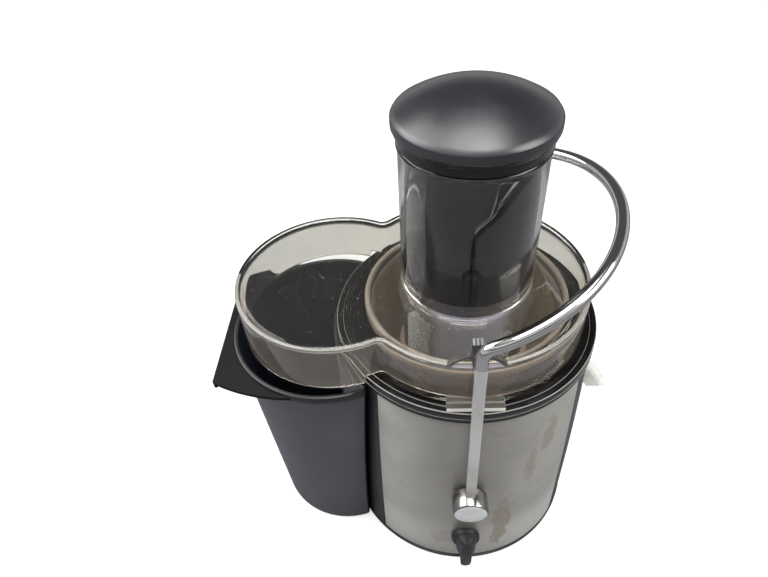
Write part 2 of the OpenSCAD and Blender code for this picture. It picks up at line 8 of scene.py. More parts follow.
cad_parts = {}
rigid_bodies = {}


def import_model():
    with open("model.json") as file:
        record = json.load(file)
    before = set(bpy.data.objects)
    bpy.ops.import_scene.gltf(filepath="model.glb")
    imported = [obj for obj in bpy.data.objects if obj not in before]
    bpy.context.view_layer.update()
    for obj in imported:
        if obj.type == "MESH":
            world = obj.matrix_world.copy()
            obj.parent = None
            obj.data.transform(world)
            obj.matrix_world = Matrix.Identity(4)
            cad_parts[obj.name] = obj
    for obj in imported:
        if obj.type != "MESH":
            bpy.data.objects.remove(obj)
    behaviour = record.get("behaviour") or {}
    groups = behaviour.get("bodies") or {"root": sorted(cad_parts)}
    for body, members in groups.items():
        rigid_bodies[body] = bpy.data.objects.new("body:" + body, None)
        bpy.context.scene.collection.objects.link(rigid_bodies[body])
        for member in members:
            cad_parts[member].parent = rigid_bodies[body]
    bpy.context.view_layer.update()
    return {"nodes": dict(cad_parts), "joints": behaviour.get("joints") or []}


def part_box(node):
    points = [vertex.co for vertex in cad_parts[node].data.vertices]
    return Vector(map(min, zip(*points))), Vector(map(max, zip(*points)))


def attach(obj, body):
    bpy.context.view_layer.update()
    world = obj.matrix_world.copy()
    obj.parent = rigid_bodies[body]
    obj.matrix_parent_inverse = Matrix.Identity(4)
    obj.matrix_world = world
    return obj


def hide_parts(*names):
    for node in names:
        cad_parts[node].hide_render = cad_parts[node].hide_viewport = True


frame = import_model()

# Shapes are worked out in millimetres about the drive axis, as in the CAD model, and become metres in the
# shared frame when a mesh is made.
MM = 0.001
DRIVE_X = next(j["pos_m"][0] for j in frame["joints"] if j["name"] == "basket_spin")
TO_FRAME = Matrix.Translation((DRIVE_X, 0, 0)) @ Matrix.Scale(MM, 4)
FROM_FRAME = TO_FRAME.inverted()


def span(node):
    """A CAD node's lowest and highest corner in millimetres about the drive axis."""
    return [FROM_FRAME @ Vector(corner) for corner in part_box(node)]


BASE_TOP = span("bowl_ring")[0].z
RING_TOP = span("bowl_ring")[1].z
RING_R = span("bowl_ring")[1].x
SEAT = span("juice_bowl")[1].z
TUBE_TOP = span("feed_tube")[1].z
TUBE_END = span("feed_tube")[0].z
CAP_FOOT = span("pusher_body")[1].z
CAP_R = span("pusher_cap")[1].x
CAP_TOP = span("pusher_cap")[1].z
PUSHER_FOOT = span("pusher_body")[0].z
PUSHER_R = span("pusher_body")[1].x
BIN_TOP = span("pulp_bin")[1].z
BIN_FOOT = span("pulp_bin")[0].z
GRIP_X = span("pulp_bin")[0].x
PIVOT_FACE = -span("pivot_caps")[0].y
PIVOT_Z = (span("pivot_caps")[0].z + span("pivot_caps")[1].z) / 2
KNOB_Z = (span("switch_spindle")[0].z + span("switch_spindle")[1].z) / 2

BASE_R = 90.6
BELLY = 4.5
LID_R = 78.8
LOBE_R = 65.0
LOBE_X = 87.0
NECK_R = 6.0
LID_RIM = SEAT + 29.5
LID_PANEL = LID_RIM - 1.2
LOBE_DROP = 6.0
LOBE_START = RING_R + 0.9
CLEAR_T = 2.4
CLEAR_INDEX = 1.46
TUBE_R = 42.0
TAB_W = 17.0
CAM_R = 20.6
CAM_TOP = LID_RIM + 8


def wall_r(z):
    """Radius of the steel wall of the base at height z."""
    return BASE_R - BELLY * (z / BASE_TOP) ** 2


# --- meshes ---

def circle(r, steps=160, z=0.0, centre=(0.0, 0.0)):
    """Points round a level circle at height z."""
    turn = 2 * math.pi / steps
    return [(centre[0] + r * math.cos(i * turn), centre[1] + r * math.sin(i * turn), z) for i in range(steps)]


def arc(centre, r, start, end, steps):
    """Points on an arc in the plane, both ends included. Angles in radians."""
    return [
        (centre[0] + r * math.cos(start + (end - start) * i / steps),
         centre[1] + r * math.sin(start + (end - start) * i / steps))
        for i in range(steps + 1)
    ]


def rounded(points, radii, steps=5, closed=True):
    """A polygon in the plane with each corner rounded to its radius. One radius may serve them all."""
    if not isinstance(radii, (list, tuple)):
        radii = [radii] * len(points)
    out = []
    for i, corner in enumerate(points):
        here = Vector(corner)
        if radii[i] <= 0 or (not closed and i in (0, len(points) - 1)):
            out.append(tuple(here))
            continue
        before = Vector(points[i - 1]) - here
        after = Vector(points[(i + 1) % len(points)]) - here
        bend = before.angle(after)
        reach = min(radii[i] / math.tan(bend / 2), before.length * 0.49, after.length * 0.49)
        a, b = here + before.normalized() * reach, here + after.normalized() * reach
        for k in range(steps + 1):
            t = k / steps
            out.append(tuple((1 - t) ** 2 * a + 2 * t * (1 - t) * here + t ** 2 * b))
    return out


def settle(bm, loose=1e-5):
    """Merges doubles, closes what is left open and turns every shell's faces outwards."""
    bmesh.ops.remove_doubles(bm, verts=bm.verts, dist=loose)
    bmesh.ops.dissolve_degenerate(bm, edges=bm.edges, dist=loose)
    bmesh.ops.recalc_face_normals(bm, faces=bm.faces)
    if bm.calc_volume(signed=True) < 0:
        bmesh.ops.reverse_faces(bm, faces=bm.faces)


def skin(rings, closed=True, caps=True):
    """A surface through rings of equal length. A closed skin joins its last ring to its first. An open one is
    capped, or comes to a point where a ring holds one point."""
    bm = bmesh.new()
    loops = [[bm.verts.new(p) for p in ring] for ring in rings]
    pairs = list(zip(loops, loops[1:])) + ([(loops[-1], loops[0])] if closed else [])
    for low, high in pairs:
        count = max(len(low), len(high))
        for i in range(count):
            k = (i + 1) % count
            face = [low[i % len(low)], low[k % len(low)], high[k % len(high)], high[i % len(high)]]
            face = [v for n, v in enumerate(face) if v not in face[:n]]
            if len(face) > 2:
                bm.faces.new(face)
    if caps and not closed:
        for loop in (loops[0], loops[-1]):
            if len(loop) > 2:
                bm.faces.new(loop)
    settle(bm)
    return bm


def lathe(profile, steps=160):
    """A solid of revolution about the drive axis. The profile is a closed list of (radius, height); where it
    starts and ends on the axis it closes there."""
    on_axis = profile[0][0] < 1e-6 and profile[-1][0] < 1e-6
    rings = [[(0, 0, z)] if r < 1e-6 else circle(r, steps, z) for r, z in profile]
    return skin(rings, closed=not on_axis, caps=False)


def prism(outline, depth, turn=None):
    """An outline in the plane made solid from depth[0] to depth[1], then turned."""
    rings = [[(x, y, z) for x, y in outline] for z in depth]
    bm = skin(rings, closed=False)
    if turn is not None:
        bmesh.ops.transform(bm, matrix=turn, verts=bm.verts)
        bmesh.ops.recalc_face_normals(bm, faces=bm.faces)
    return bm


# Turns a plan drawn in X and Y into one that stands in X and Z, with its depth towards -Y
UPRIGHT = Matrix.Rotation(math.radians(90), 4, "X")


def box(x, y, z):
    """A block from its lowest to its highest place along each axis."""
    bm = bmesh.new()
    bmesh.ops.create_cube(bm, size=1)
    scale = Matrix.Diagonal((x[1] - x[0], y[1] - y[0], z[1] - z[0], 1))
    middle = Matrix.Translation(((x[0] + x[1]) / 2, (y[0] + y[1]) / 2, (z[0] + z[1]) / 2))
    bmesh.ops.transform(bm, matrix=middle @ scale, verts=bm.verts)
    return bm


def mirrored(bm):
    """The same mesh again, mirrored from the front to the rear."""
    twin = bm.copy()
    bmesh.ops.transform(twin, matrix=Matrix.Diagonal((1, -1, 1, 1)), verts=twin.verts)
    bmesh.ops.reverse_faces(twin, faces=twin.faces)
    return join([bm, twin])


def join(meshes):
    """Several meshes as one."""
    whole = bmesh.new()
    for bm in meshes:
        part = bpy.data.meshes.new("part")
        bm.to_mesh(part)
        whole.from_mesh(part)
        bpy.data.meshes.remove(part)
        bm.free()
    return whole


def thing(name, bm, *materials):
    """Makes a mesh in millimetres an object in the shared frame."""
    mesh = bpy.data.meshes.new(name)
    bm.transform(TO_FRAME)
    bm.to_mesh(mesh)
    bm.free()
    for m in materials:
        mesh.materials.append(m)
    obj = bpy.data.objects.new(name, mesh)
    bpy.context.scene.collection.objects.link(obj)
    return obj


def smooth(obj, angle=35):
    """Shades an object smoothly, except at edges that turn by more than the angle in degrees."""
    obj.data.shade_smooth()
    obj.data.set_sharp_from_angle(angle=math.radians(angle))
    return obj


def painted(obj, slot_of):
    """Gives each face the material slot that slot_of picks from its middle in millimetres and its normal."""
    for face in obj.data.polygons:
        face.material_index = slot_of(FROM_FRAME @ face.center, face.normal)
    return obj


def applied(obj):
    """Turns an object's modifiers into its plain mesh."""
    evaluated = obj.evaluated_get(bpy.context.evaluated_depsgraph_get())
    mesh = bpy.data.meshes.new_from_object(evaluated)
    old = obj.data
    obj.modifiers.clear()
    obj.data = mesh
    bpy.data.meshes.remove(old)
    mesh.name = obj.name
    return obj


def carved(obj, bm, operation="DIFFERENCE"):
    """Cuts a mesh in millimetres out of an object, or joins it on."""
    tool = thing("tool", bm)
    mod = obj.modifiers.new("carve", "BOOLEAN")
    mod.operation = operation
    mod.solver = "EXACT"
    mod.object = tool
    applied(obj)
    bpy.data.objects.remove(tool)
    return obj


def bevelled(obj, width, segments=3):
    """Rounds the edges of an object that turn by more than 30 degrees. The width is in millimetres."""
    mod = obj.modifiers.new("round", "BEVEL")
    mod.width = width * MM
    mod.segments = segments
    mod.limit_method = "ANGLE"
    mod.angle_limit = math.radians(30)
    mod.harden_normals = False
    return applied(obj)


def softened(node, name, width, *materials, segments=2):
    """A copy of a CAD node whose sharp edges are rounded as a moulded or turned part's are."""
    bm = bmesh.new()
    bm.from_mesh(frame["nodes"][node].data)
    bmesh.ops.remove_doubles(bm, verts=bm.verts, dist=2e-6)
    bmesh.ops.dissolve_limit(bm, angle_limit=math.radians(0.6), verts=bm.verts, edges=bm.edges)
    bm.transform(FROM_FRAME)
    obj = thing(name, bm, *materials)
    return smooth(bevelled(obj, width, segments))


def hand_over(obj, body, *nodes, slot=None):
    """Lets a finished piece ride on its body and stand for its CAD nodes. The slot argument is not used."""
    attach(obj, body)
    if nodes:
        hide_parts(*nodes)


# --- shader tools ---

def srgb(code):
    """A colour from its hex code, made linear."""
    parts = [int(code[i:i + 2], 16) / 255 for i in (0, 2, 4)]
    return tuple(c / 12.92 if c <= 0.04045 else ((c + 0.055) / 1.055) ** 2.4 for c in parts) + (1,)


class Tree:
    """Short ways to add nodes to a shader tree. An input is a value or another node's output."""

    def __init__(self, tree):
        self.tree = tree

    def put(self, socket, value):
        if isinstance(value, bpy.types.NodeSocket):
            self.tree.links.new(value, socket)
        elif value is not None:
            socket.default_value = value

    def add(self, kind, inputs=None, **settings):
        node = self.tree.nodes.new(kind)
        for key, value in settings.items():
            setattr(node, key, value)
        for key, value in (inputs or {}).items():
            self.put(node.inputs[key], value)
        return node

    def math(self, operation, a, b=None):
        return self.add("ShaderNodeMath", {0: a, 1: b}, operation=operation).outputs[0]

    def times(self, a, b):
        return self.math("MULTIPLY", a, b)

    def plus(self, a, b):
        return self.math("ADD", a, b)

    def ramp(self, value, low, high, out_low=0.0, out_high=1.0):
        """Maps a value from one range to another, with soft ends."""
        node = self.add("ShaderNodeMapRange", {0: value, 1: low, 2: high, 3: out_low, 4: out_high})
        node.interpolation_type = "SMOOTHSTEP"
        return node.outputs[0]

    def mix(self, factor, a, b):
        node = self.add("ShaderNodeMix", data_type="RGBA")
        for socket, value in zip((node.inputs[0], node.inputs[6], node.inputs[7]), (factor, a, b)):
            self.put(socket, value)
        return node.outputs[2]

    def noise(self, vector, scale, detail=3.0, roughness=0.5, distortion=0.0):
        return self.add("ShaderNodeTexNoise", {
            "Vector": vector, "Scale": scale, "Detail": detail,
            "Roughness": roughness, "Distortion": distortion,
        }).outputs[0]

    def stretched(self, vector, scale):
        return self.add("ShaderNodeMapping", {"Vector": vector, "Scale": scale}).outputs[0]

    def axes(self, vector):
        return self.add("ShaderNodeSeparateXYZ", {0: vector}).outputs

    def place(self):
        return self.add("ShaderNodeTexCoord").outputs["Object"]

    def bump(self, height, strength, distance=0.0004):
        return self.add("ShaderNodeBump", {
            "Height": height, "Strength": strength, "Distance": distance,
        }).outputs[0]

    def surface(self, node):
        """Puts a shader to the material's output."""
        self.put(self.add("ShaderNodeOutputMaterial").inputs["Surface"], node.outputs[0])


def effect(name, outputs, build, **inputs):
    """A shader node group with a place and number inputs, given as name=default. Build fills it in."""
    group = bpy.data.node_groups.new(name, "ShaderNodeTree")
    group.interface.new_socket("Place", in_out="INPUT", socket_type="NodeSocketVector")
    for label, value in inputs.items():
        socket = group.interface.new_socket(label, in_out="INPUT", socket_type="NodeSocketFloat")
        socket.default_value = value
    for label in outputs:
        group.interface.new_socket(label, in_out="OUTPUT", socket_type="NodeSocketFloat")
    t = Tree(group)
    source = group.nodes.new("NodeGroupInput").outputs
    sink = group.nodes.new("NodeGroupOutput").inputs
    for label, value in zip(outputs, build(t, source)):
        t.put(sink[label], value)
    return group


def use(t, group, place, **values):
    """Puts a shader node group into a tree and gives its outputs."""
    node = t.add("ShaderNodeGroup", node_tree=group)
    t.put(node.inputs["Place"], place)
    for label, value in values.items():
        t.put(node.inputs[label], value)
    return node.outputs


def build_speckle(t, s):
    """Small spots, here and there. Density thins them out and Size is their radius in a cell."""
    cells = t.add("ShaderNodeTexVoronoi", {"Vector": s["Place"], "Scale": s["Scale"], "Randomness": 1.0})
    keep = t.add("ShaderNodeSeparateColor", {0: cells.outputs["Color"]}).outputs[0]
    near = t.math("LESS_THAN", cells.outputs["Distance"], t.times(s["Size"], keep))
    return [t.times(near, t.math("LESS_THAN", keep, s["Density"]))]


def build_smear(t, s):
    """Cloudy handling marks, with a finer breakup inside them."""
    broad = t.noise(s["Place"], s["Scale"], 4.0, 0.55, 0.6)
    fine = t.noise(s["Place"], t.times(s["Scale"], 9.0), 3.0, 0.6)
    cloud = t.ramp(broad, 0.42, 0.68)
    return [t.times(cloud, t.ramp(fine, 0.25, 0.75, 0.5, 1.0))]


def build_scratches(t, s):
    """Thin long lines that wander a little, in two directions."""
    lines = []
    for turn in (0.5, -0.9):
        turned = t.add("ShaderNodeMapping", {"Vector": s["Place"], "Rotation": (0.4, turn, turn)}).outputs[0]
        long = t.stretched(turned, (1.0, 1.0, 0.03))
        lines.append(t.math("GREATER_THAN", t.noise(long, s["Scale"], 1.0, 0.4), s["Threshold"]))
    in_places = t.ramp(t.noise(s["Place"], 30.0), 0.45, 0.6)
    return [t.times(t.math("MAXIMUM", lines[0], lines[1]), in_places)]


def build_brushed(t, s):
    """Fine lines that run round the drive axis, as a sheet is brushed along its length."""
    about = t.add("ShaderNodeMapping", {"Vector": s["Place"], "Location": (-DRIVE_X, 0, 0)}).outputs[0]
    parts = t.axes(about)
    angle = t.math("ARCTAN2", parts[1], parts[0])
    line = t.add("ShaderNodeCombineXYZ", {0: t.times(angle, s["Run"]), 2: parts[2]}).outputs[0]
    grain = t.noise(t.stretched(line, (1.0, 1.0, 60.0)), s["Scale"], 4.0, 0.65)
    broad = t.noise(t.stretched(line, (3.0, 1.0, 14.0)), 3.0, 3.0, 0.6, 0.4)
    return [grain, broad]


SPECKLE = effect("Speckle", ["Mask"], build_speckle, Scale=400.0, Size=0.3, Density=0.3)
SMEAR = effect("Smear", ["Mask"], build_smear, Scale=12.0)
SCRATCHES = effect("Scratches", ["Mask"], build_scratches, Scale=900.0, Threshold=0.73)
BRUSHED = effect("Brushed lines", ["Grain", "Cloud"], build_brushed, Scale=60.0, Run=0.35)


def new_material(name):
    m = bpy.data.materials.new(name)
    m.use_nodes = True
    m.node_tree.nodes.clear()
    return m, Tree(m.node_tree)


def moulded(name, colour, worn, roughness, grain=0.15, specks=0.1, spread=0.12, coat=0.0, shine=0.0,
            gloss=0.3):
    """Moulded plastic: a fine skin, handling marks that change its sheen, and light dust in places."""
    m, t = new_material(name)
    place = t.place()
    marks = use(t, SMEAR, place, Scale=14.0)["Mask"]
    dust = use(t, SPECKLE, place, Scale=520.0, Size=0.24, Density=specks)["Mask"]
    lines = use(t, SCRATCHES, place, Scale=700.0, Threshold=0.76)["Mask"]
    tone = t.mix(t.times(marks, 0.7), srgb(colour), srgb(worn))
    tone = t.mix(t.times(lines, 0.25), tone, srgb(worn))
    tone = t.mix(t.times(dust, 0.5), tone, (0.35, 0.34, 0.32, 1))
    skin_height = t.noise(place, 2600.0, 2.0)
    sheen = t.ramp(t.noise(place, 60.0), 0, 1, roughness, roughness + 0.06)
    t.surface(t.add("ShaderNodeBsdfPrincipled", {
        "Base Color": tone, "Roughness": t.plus(t.times(marks, spread), sheen),
        "Coat Weight": coat, "Coat Roughness": 0.12, "Metallic": shine, "Specular IOR Level": gloss,
        "Normal": t.bump(skin_height, grain, 0.0001),
    }))
    return m


def metal(name, colour, dull, roughness, pits=0.2):
    """Plated or turned metal with small dull pits and fine wear."""
    m, t = new_material(name)
    place = t.place()
    marks = use(t, SMEAR, place, Scale=40.0)["Mask"]
    pit = use(t, SPECKLE, place, Scale=700.0, Size=0.3, Density=pits)["Mask"]
    tone = t.mix(t.times(marks, 0.35), srgb(colour), srgb(dull))
    tone = t.mix(t.times(pit, 0.7), tone, srgb("4a4745"))
    rough = t.plus(t.times(marks, 0.1), t.times(pit, 0.25))
    t.surface(t.add("ShaderNodeBsdfPrincipled", {
        "Base Color": tone, "Metallic": 1.0, "Roughness": t.plus(rough, roughness),
        "Normal": t.bump(t.noise(place, 500.0, 3.0), 0.05, 0.0002),
    }))
    return m


def patch(t, place, centre, reach, ragged=1.3):
    """A mask that is 1 near a point and ends in a ragged edge. Reach is its half size along each axis."""
    shrink = tuple(1 / r for r in reach)
    away = t.add("ShaderNodeVectorMath", {0: place, 1: centre}, operation="SUBTRACT").outputs[0]
    away = t.add("ShaderNodeVectorMath", {0: away, 1: shrink}, operation="MULTIPLY").outputs[0]
    length = t.add("ShaderNodeVectorMath", {0: away}, operation="LENGTH").outputs["Value"]
    wobble = t.times(t.noise(t.stretched(place, (1.0, 1.0, 0.6)), 120.0, 4.0, 0.6, 0.6), ragged)
    return t.ramp(t.plus(length, wobble), 1.1, 1.0)


# Dried stains on the front sheet: place and half size in metres, and how strong
STAINS = [
    ((0.0535, -0.087, 0.056), (0.015, 0.04, 0.075), 0.7),
    ((0.069, -0.078, 0.118), (0.010, 0.04, 0.055), 0.45),
    ((0.079, -0.071, 0.148), (0.010, 0.04, 0.040), 0.5),
    ((0.020, -0.088, 0.035), (0.03, 0.04, 0.03), 0.3),
]


def brushed_sheet(name, colour, shade_colour, stain):
    """Stainless sheet with a fine brushed grain, broad cloudy tone, a painted darker reflection near its
    middle, a few dried stains and black specks.
    """
    m, t = new_material(name)
    place = t.place()
    lines = use(t, BRUSHED, place)
    grain, cloud = lines["Grain"], lines["Cloud"]
    broad = t.noise(place, 7.0, 2.0, 0.45)
    runs = t.noise(t.stretched(place, (1.0, 1.0, 0.45)), 26.0, 4.0, 0.6, 1.2)
    spots = use(t, SPECKLE, place, Scale=150.0, Size=0.13, Density=0.16)["Mask"]
    tone = t.mix(t.ramp(broad, 0.35, 0.65), srgb(colour), srgb(shade_colour))
    tone = t.mix(t.times(t.ramp(cloud, 0.35, 0.7), 0.18), tone, srgb("6f6e69"))
    tone = t.mix(t.ramp(runs, 0.64, 0.72, 0.0, 0.4), tone, srgb(stain))
    where = t.axes(place)
    tone = t.mix(t.ramp(where[2], 0.07, 0.03), tone, srgb("d6d5cc"))
    # Painted darker reflection down the middle of the sheet, stronger higher up
    aside = t.math("ABSOLUTE", t.math("SUBTRACT", where[0], 0.025))
    middle = t.times(t.ramp(aside, 0.055, 0.012), t.ramp(where[2], 0.05, 0.12, 0.3, 0.62))
    tone = t.mix(middle, tone, srgb("85817b"))
    for centre, reach, depth in STAINS:
        tone = t.mix(t.times(patch(t, place, centre, reach), depth), tone, srgb(stain))
    tone = t.mix(spots, tone, srgb("22201e"))
    rough = t.plus(t.ramp(grain, 0.2, 0.8, 0.42, 0.5), t.ramp(runs, 0.62, 0.72, 0.0, 0.15))
    t.surface(t.add("ShaderNodeBsdfPrincipled", {
        "Base Color": tone, "Metallic": 0.7, "Roughness": rough, "Normal": t.bump(grain, 0.06, 0.0001),
    }))
    return m


def see_through(t, body, shadow):
    """Lets lamps reach what is behind a clear wall, and puts the shader to the output."""
    through = t.add("ShaderNodeBsdfTransparent", {"Color": srgb(shadow)})
    lamps = t.add("ShaderNodeLightPath").outputs["Is Shadow Ray"]
    t.surface(t.add("ShaderNodeMixShader", {0: lamps, 1: body.outputs[0], 2: through.outputs[0]}))


def clear(name, tint, roughness, film, dirt="c4bfb4", through=1.0):
    """Clear plastic. Lamps reach what is behind it, and a thin film of dried juice dulls it in places."""
    m, t = new_material(name)
    place = t.place()
    marks = use(t, SMEAR, place, Scale=9.0)["Mask"]
    lines = use(t, SCRATCHES, place, Scale=1100.0, Threshold=0.79)["Mask"]
    rough = t.plus(t.times(marks, film), t.times(lines, 0.04))
    body = t.add("ShaderNodeBsdfPrincipled", {
        "Base Color": t.mix(t.times(marks, 0.5), srgb(tint), srgb(dirt)),
        "Roughness": t.plus(rough, roughness), "Transmission Weight": through, "IOR": CLEAR_INDEX,
        "Normal": t.bump(t.noise(place, 35.0, 2.0), 0.03, 0.0006),
    })
    see_through(t, body, "f9f8f5")
    return m


def frosted(name, colour, through, roughness, shadow, sides=None):
    """Plastic that light passes but that no longer shows what is behind it sharply. Sides, if given, is its
    colour away from the plane through the drive axis, and the lighter colour near that plane is a painted
    reflection."""
    m, t = new_material(name)
    place = t.place()
    marks = use(t, SMEAR, place, Scale=22.0)["Mask"]
    across = t.math("SUBTRACT", t.axes(place)[0], DRIVE_X)
    aside = t.ramp(t.math("ABSOLUTE", across), 0.015, 0.028)
    # With sides given, the lighter colour near the plane through the drive axis is a painted reflection
    tone = t.mix(aside, srgb(colour), srgb(sides or colour))
    body = t.add("ShaderNodeBsdfPrincipled", {
        "Base Color": t.mix(t.times(marks, 0.3), tone, srgb("8f8a84")),
        "Roughness": t.plus(t.times(marks, 0.1), roughness),
        "Transmission Weight": through, "IOR": CLEAR_INDEX,
        "Normal": t.bump(t.noise(place, 60.0, 2.0), 0.03, 0.0003),
    })
    see_through(t, body, shadow)
    return m


black_plastic = moulded("Black housing plastic", "121214", "242325", 0.34, coat=0.1)
gloss_black = moulded(
    "Gloss black ring plastic", "09090a", "161517", 0.16, grain=0.03, specks=0.05, coat=0.05)
cap_plastic = moulded("Satin black cap plastic", "131418", "222327", 0.3, grain=0.1, specks=0.06, gloss=0.75)
bin_plastic = moulded("Charcoal bin plastic", "46454c", "57555c", 0.4, grain=0.3, specks=0.1, gloss=0.35)
# The bin's own plastic, painted much darker for the inside as shade
bin_inside_painted_shade = moulded("Painted shade bin inside plastic", "0f1118", "1c1f28", 0.3, specks=0.2, gloss=0.12)
grip_plastic = moulded("Matt grip plastic", "0e0e0e", "191818", 0.58, grain=0.35, gloss=0.1)
pusher_plastic = moulded("Pusher plastic", "0c0d14", "15161e", 0.32, specks=0.08, gloss=0.12)
knob_plastic = moulded("Knob plastic", "101012", "2c2c2e", 0.3)
basket_plastic = moulded("Basket plastic", "a08f86", "b3a49b", 0.42, specks=0.4, spread=0.2)
lip_plastic = moulded("Stained basket lip plastic", "7c746c", "8f8780", 0.42, specks=0.4, spread=0.2)
# Grey that paints highlights on the black ring's upward-facing edges
painted_highlight_edges = moulded("Painted highlight black edges", "77756f", "96948e", 0.25, gloss=0.5)
rubber = moulded("Rubber", "1c1c1c", "333231", 0.7, grain=0.5)
white_plastic = moulded("White plastic", "c9c6bc", "dcd9cf", 0.45)
brown_board = moulded("Brown moulded board", "5c3b20", "7a5230", 0.6)
chrome = metal("Chrome", "bfbdbb", "989694", 0.05, pits=0.18)
# Near-white chrome that paints a reflection on the pivot caps' faces
satin_chrome_painted_reflection = moulded("Satin chrome face with painted reflection", "eceeec", "d2d4d2", 0.28, grain=0.05, shine=0.5, gloss=0.5)
# Chrome painted lighter than the bow as a reflection, with wear marks and dust
leg_chrome_painted_reflection = moulded(
    "Worn leg chrome with painted reflection", "d6d5d1", "aeaca7", 0.26, grain=0.05, specks=0.45, shine=0.65, gloss=0.5)
dull_chrome = metal("Dirty chrome", "8e8c89", "5c5a57", 0.13, pits=0.6)
machined = metal("Machined steel", "a3a4a6", "77787a", 0.3)
copper = metal("Copper", "b4673a", "7c4527", 0.3)
laminations = metal("Stacked steel sheets", "6f7074", "4c4d50", 0.45)
sieve_steel = moulded(
    "Stained sieve steel", "817362", "958876", 0.4, grain=0.2, specks=0.5, spread=0.2, shine=0.4)
steel = brushed_sheet("Brushed steel sheet", "c6c5bb", "b9b6ae", "9c917f")
clear_lid = clear("Smoky clear plastic", "d3d2cc", 0.02, 0.03, dirt="c0c0c2", through=0.993)
clear_tube = clear("Clear tube plastic", "e6e5e2", 0.02, 0.03)
clear_skirt = clear("Hazed skirt plastic", "d3cbc1", 0.03, 0.05, through=0.94)
# Less clear plastic that paints a highlight along the lid's front rim
rim_painted_highlight = clear("Painted highlight rim plastic", "e2e0d8", 0.1, 0.1, through=0.75)
# Lighter, less clear plastic that paints a highlight on the tabs' edges
tab_painted_highlight = clear("Painted highlight tab edge plastic", "f4f2ec", 0.15, 0.1, through=0.45)
clear_bowl = clear("Stained bowl plastic", "e2d6cd", 0.05, 0.12, dirt="a99a8e")
dried_specks = moulded("Dried white specks", "f2f0ea", "dbd8d0", 0.5, specks=0.0)
# Frosted plastic whose lighter band down the middle is a painted reflection
hazy_painted_reflection_plastic = frosted("Hazy tube plastic with painted reflection", "c4c2ce", 0.6, 0.2, "d8d7dc", sides="8b847c")
smoky_rib = frosted("Smoky cam plastic", "4d4a47", 0.6, 0.12, "a5a29d")
frosted_tab = frosted("Frosted tab plastic", "8f8c86", 0.9, 0.15, "c5c2bd")
milky_plastic = frosted("Milky spout plastic", "efeee9", 0.35, 0.25, "e0ded8")


# --- base ---

STRIP_ANGLE = 36
STEEL_END = 133
STEEL_T = 0.7
SHEET_LOW = 6.2
SHEET_TOP = BASE_TOP - 1.7
SHEET_GAP = 0.02


def steel_sheets():
    """The two brushed sheets of the base, as one curved band each with rolled edges."""
    columns, rows = 96, 12
    halves = []
    edge = rounded([(0, SHEET_LOW), (0, SHEET_TOP), (-STEEL_T, SHEET_TOP), (-STEEL_T, SHEET_LOW)], 0.3, 3)
    for side in (-1, 1):
        start, end = (math.radians(a * side) for a in (STRIP_ANGLE, STEEL_END))
        stations = []
        for i in range(columns + 1):
            turn = start + (end - start) * i / columns
            ring = []
            for n, (grow, z) in enumerate(edge):
                to_next = edge[(n + 1) % len(edge)][1] - z
                # The long faces get rows of points, so that they follow the belly of the wall
                for k in range(rows if abs(to_next) > 100 else 1):
                    at = z + to_next * k / rows
                    r = wall_r(at) + grow + SHEET_GAP
                    ring.append((r * math.cos(turn), r * math.sin(turn), at))
            stations.append(ring)
        halves.append(skin(stations, closed=False))
    return halves


front_sheet, rear_sheet = steel_sheets()
for side, bm in (("front", front_sheet), ("rear", rear_sheet)):
    sheet = smooth(thing(f"{side}_steel_sheet", bm, steel))
    hand_over(sheet, "base", f"{side}_steel_wrap")

housing = softened("motor_housing", "base_housing", 0.6, black_plastic)
hand_over(housing, "base", "motor_housing")


def grooved_ring():
    """The black ring: a rebate at its foot, a seam half way up, and a drip groove on its flat top."""
    r, low, top = RING_R, BASE_TOP, RING_TOP
    section = [
        (r - 9.5, low), (r - 1.6, low), (r - 1.6, low + 0.8), (r, low + 0.8), (r, low + 4.5),
        (r - 0.9, low + 4.5), (r - 0.9, low + 5.5), (r - 0.2, low + 5.5), (r - 0.2, top), (r - 3.2, top),
        (r - 3.5, top - 0.8), (r - 4.4, top - 0.8), (r - 4.7, top), (r - 9.5, top)]
    radii = [0.2, 0.3, 0.2, 0.5, 0.8, 0.2, 0.2, 0.5, 1.0, 0.6, 0.2, 0.2, 0.6, 0.3]
    return lathe(rounded(section, radii, 4), 240)


def ring_slot(place, normal):
    """Painted highlights on the faces of the ring's outer corner and the groove's inner corner that tilt up
    to catch the light.
    """
    inward = RING_R - math.hypot(place.x, place.y)
    return int(0.45 < normal.z < 0.9 and (inward < 1.2 or abs(inward - 4.85) < 0.35))


ring = painted(thing("bowl_black_ring", grooved_ring(), gloss_black, painted_highlight_edges), ring_slot)
hand_over(smooth(ring), "base", "bowl_ring")

gland = softened("cord_gland", "cord_inlet", 0.4, rubber)
hand_over(gland, "base", "cord_gland")


# --- juice bowl ---

bowl = softened("juice_bowl", "clear_juice_bowl", 0.5, clear_bowl)
hand_over(bowl, "base", "juice_bowl")

spout = softened("juice_spout", "spout_hood", 0.6, milky_plastic, segments=3)
hand_over(spout, "base", "juice_spout")


# --- lid ---

def neck_centre():
    """Centre of the small circle that fills the neck between the lid and its lobe, at the front."""
    a, b, d = LID_R + NECK_R, LOBE_R + NECK_R, LOBE_X
    x = (a * a - b * b + d * d) / (2 * d)
    return -x, math.sqrt(a * a - x * x)


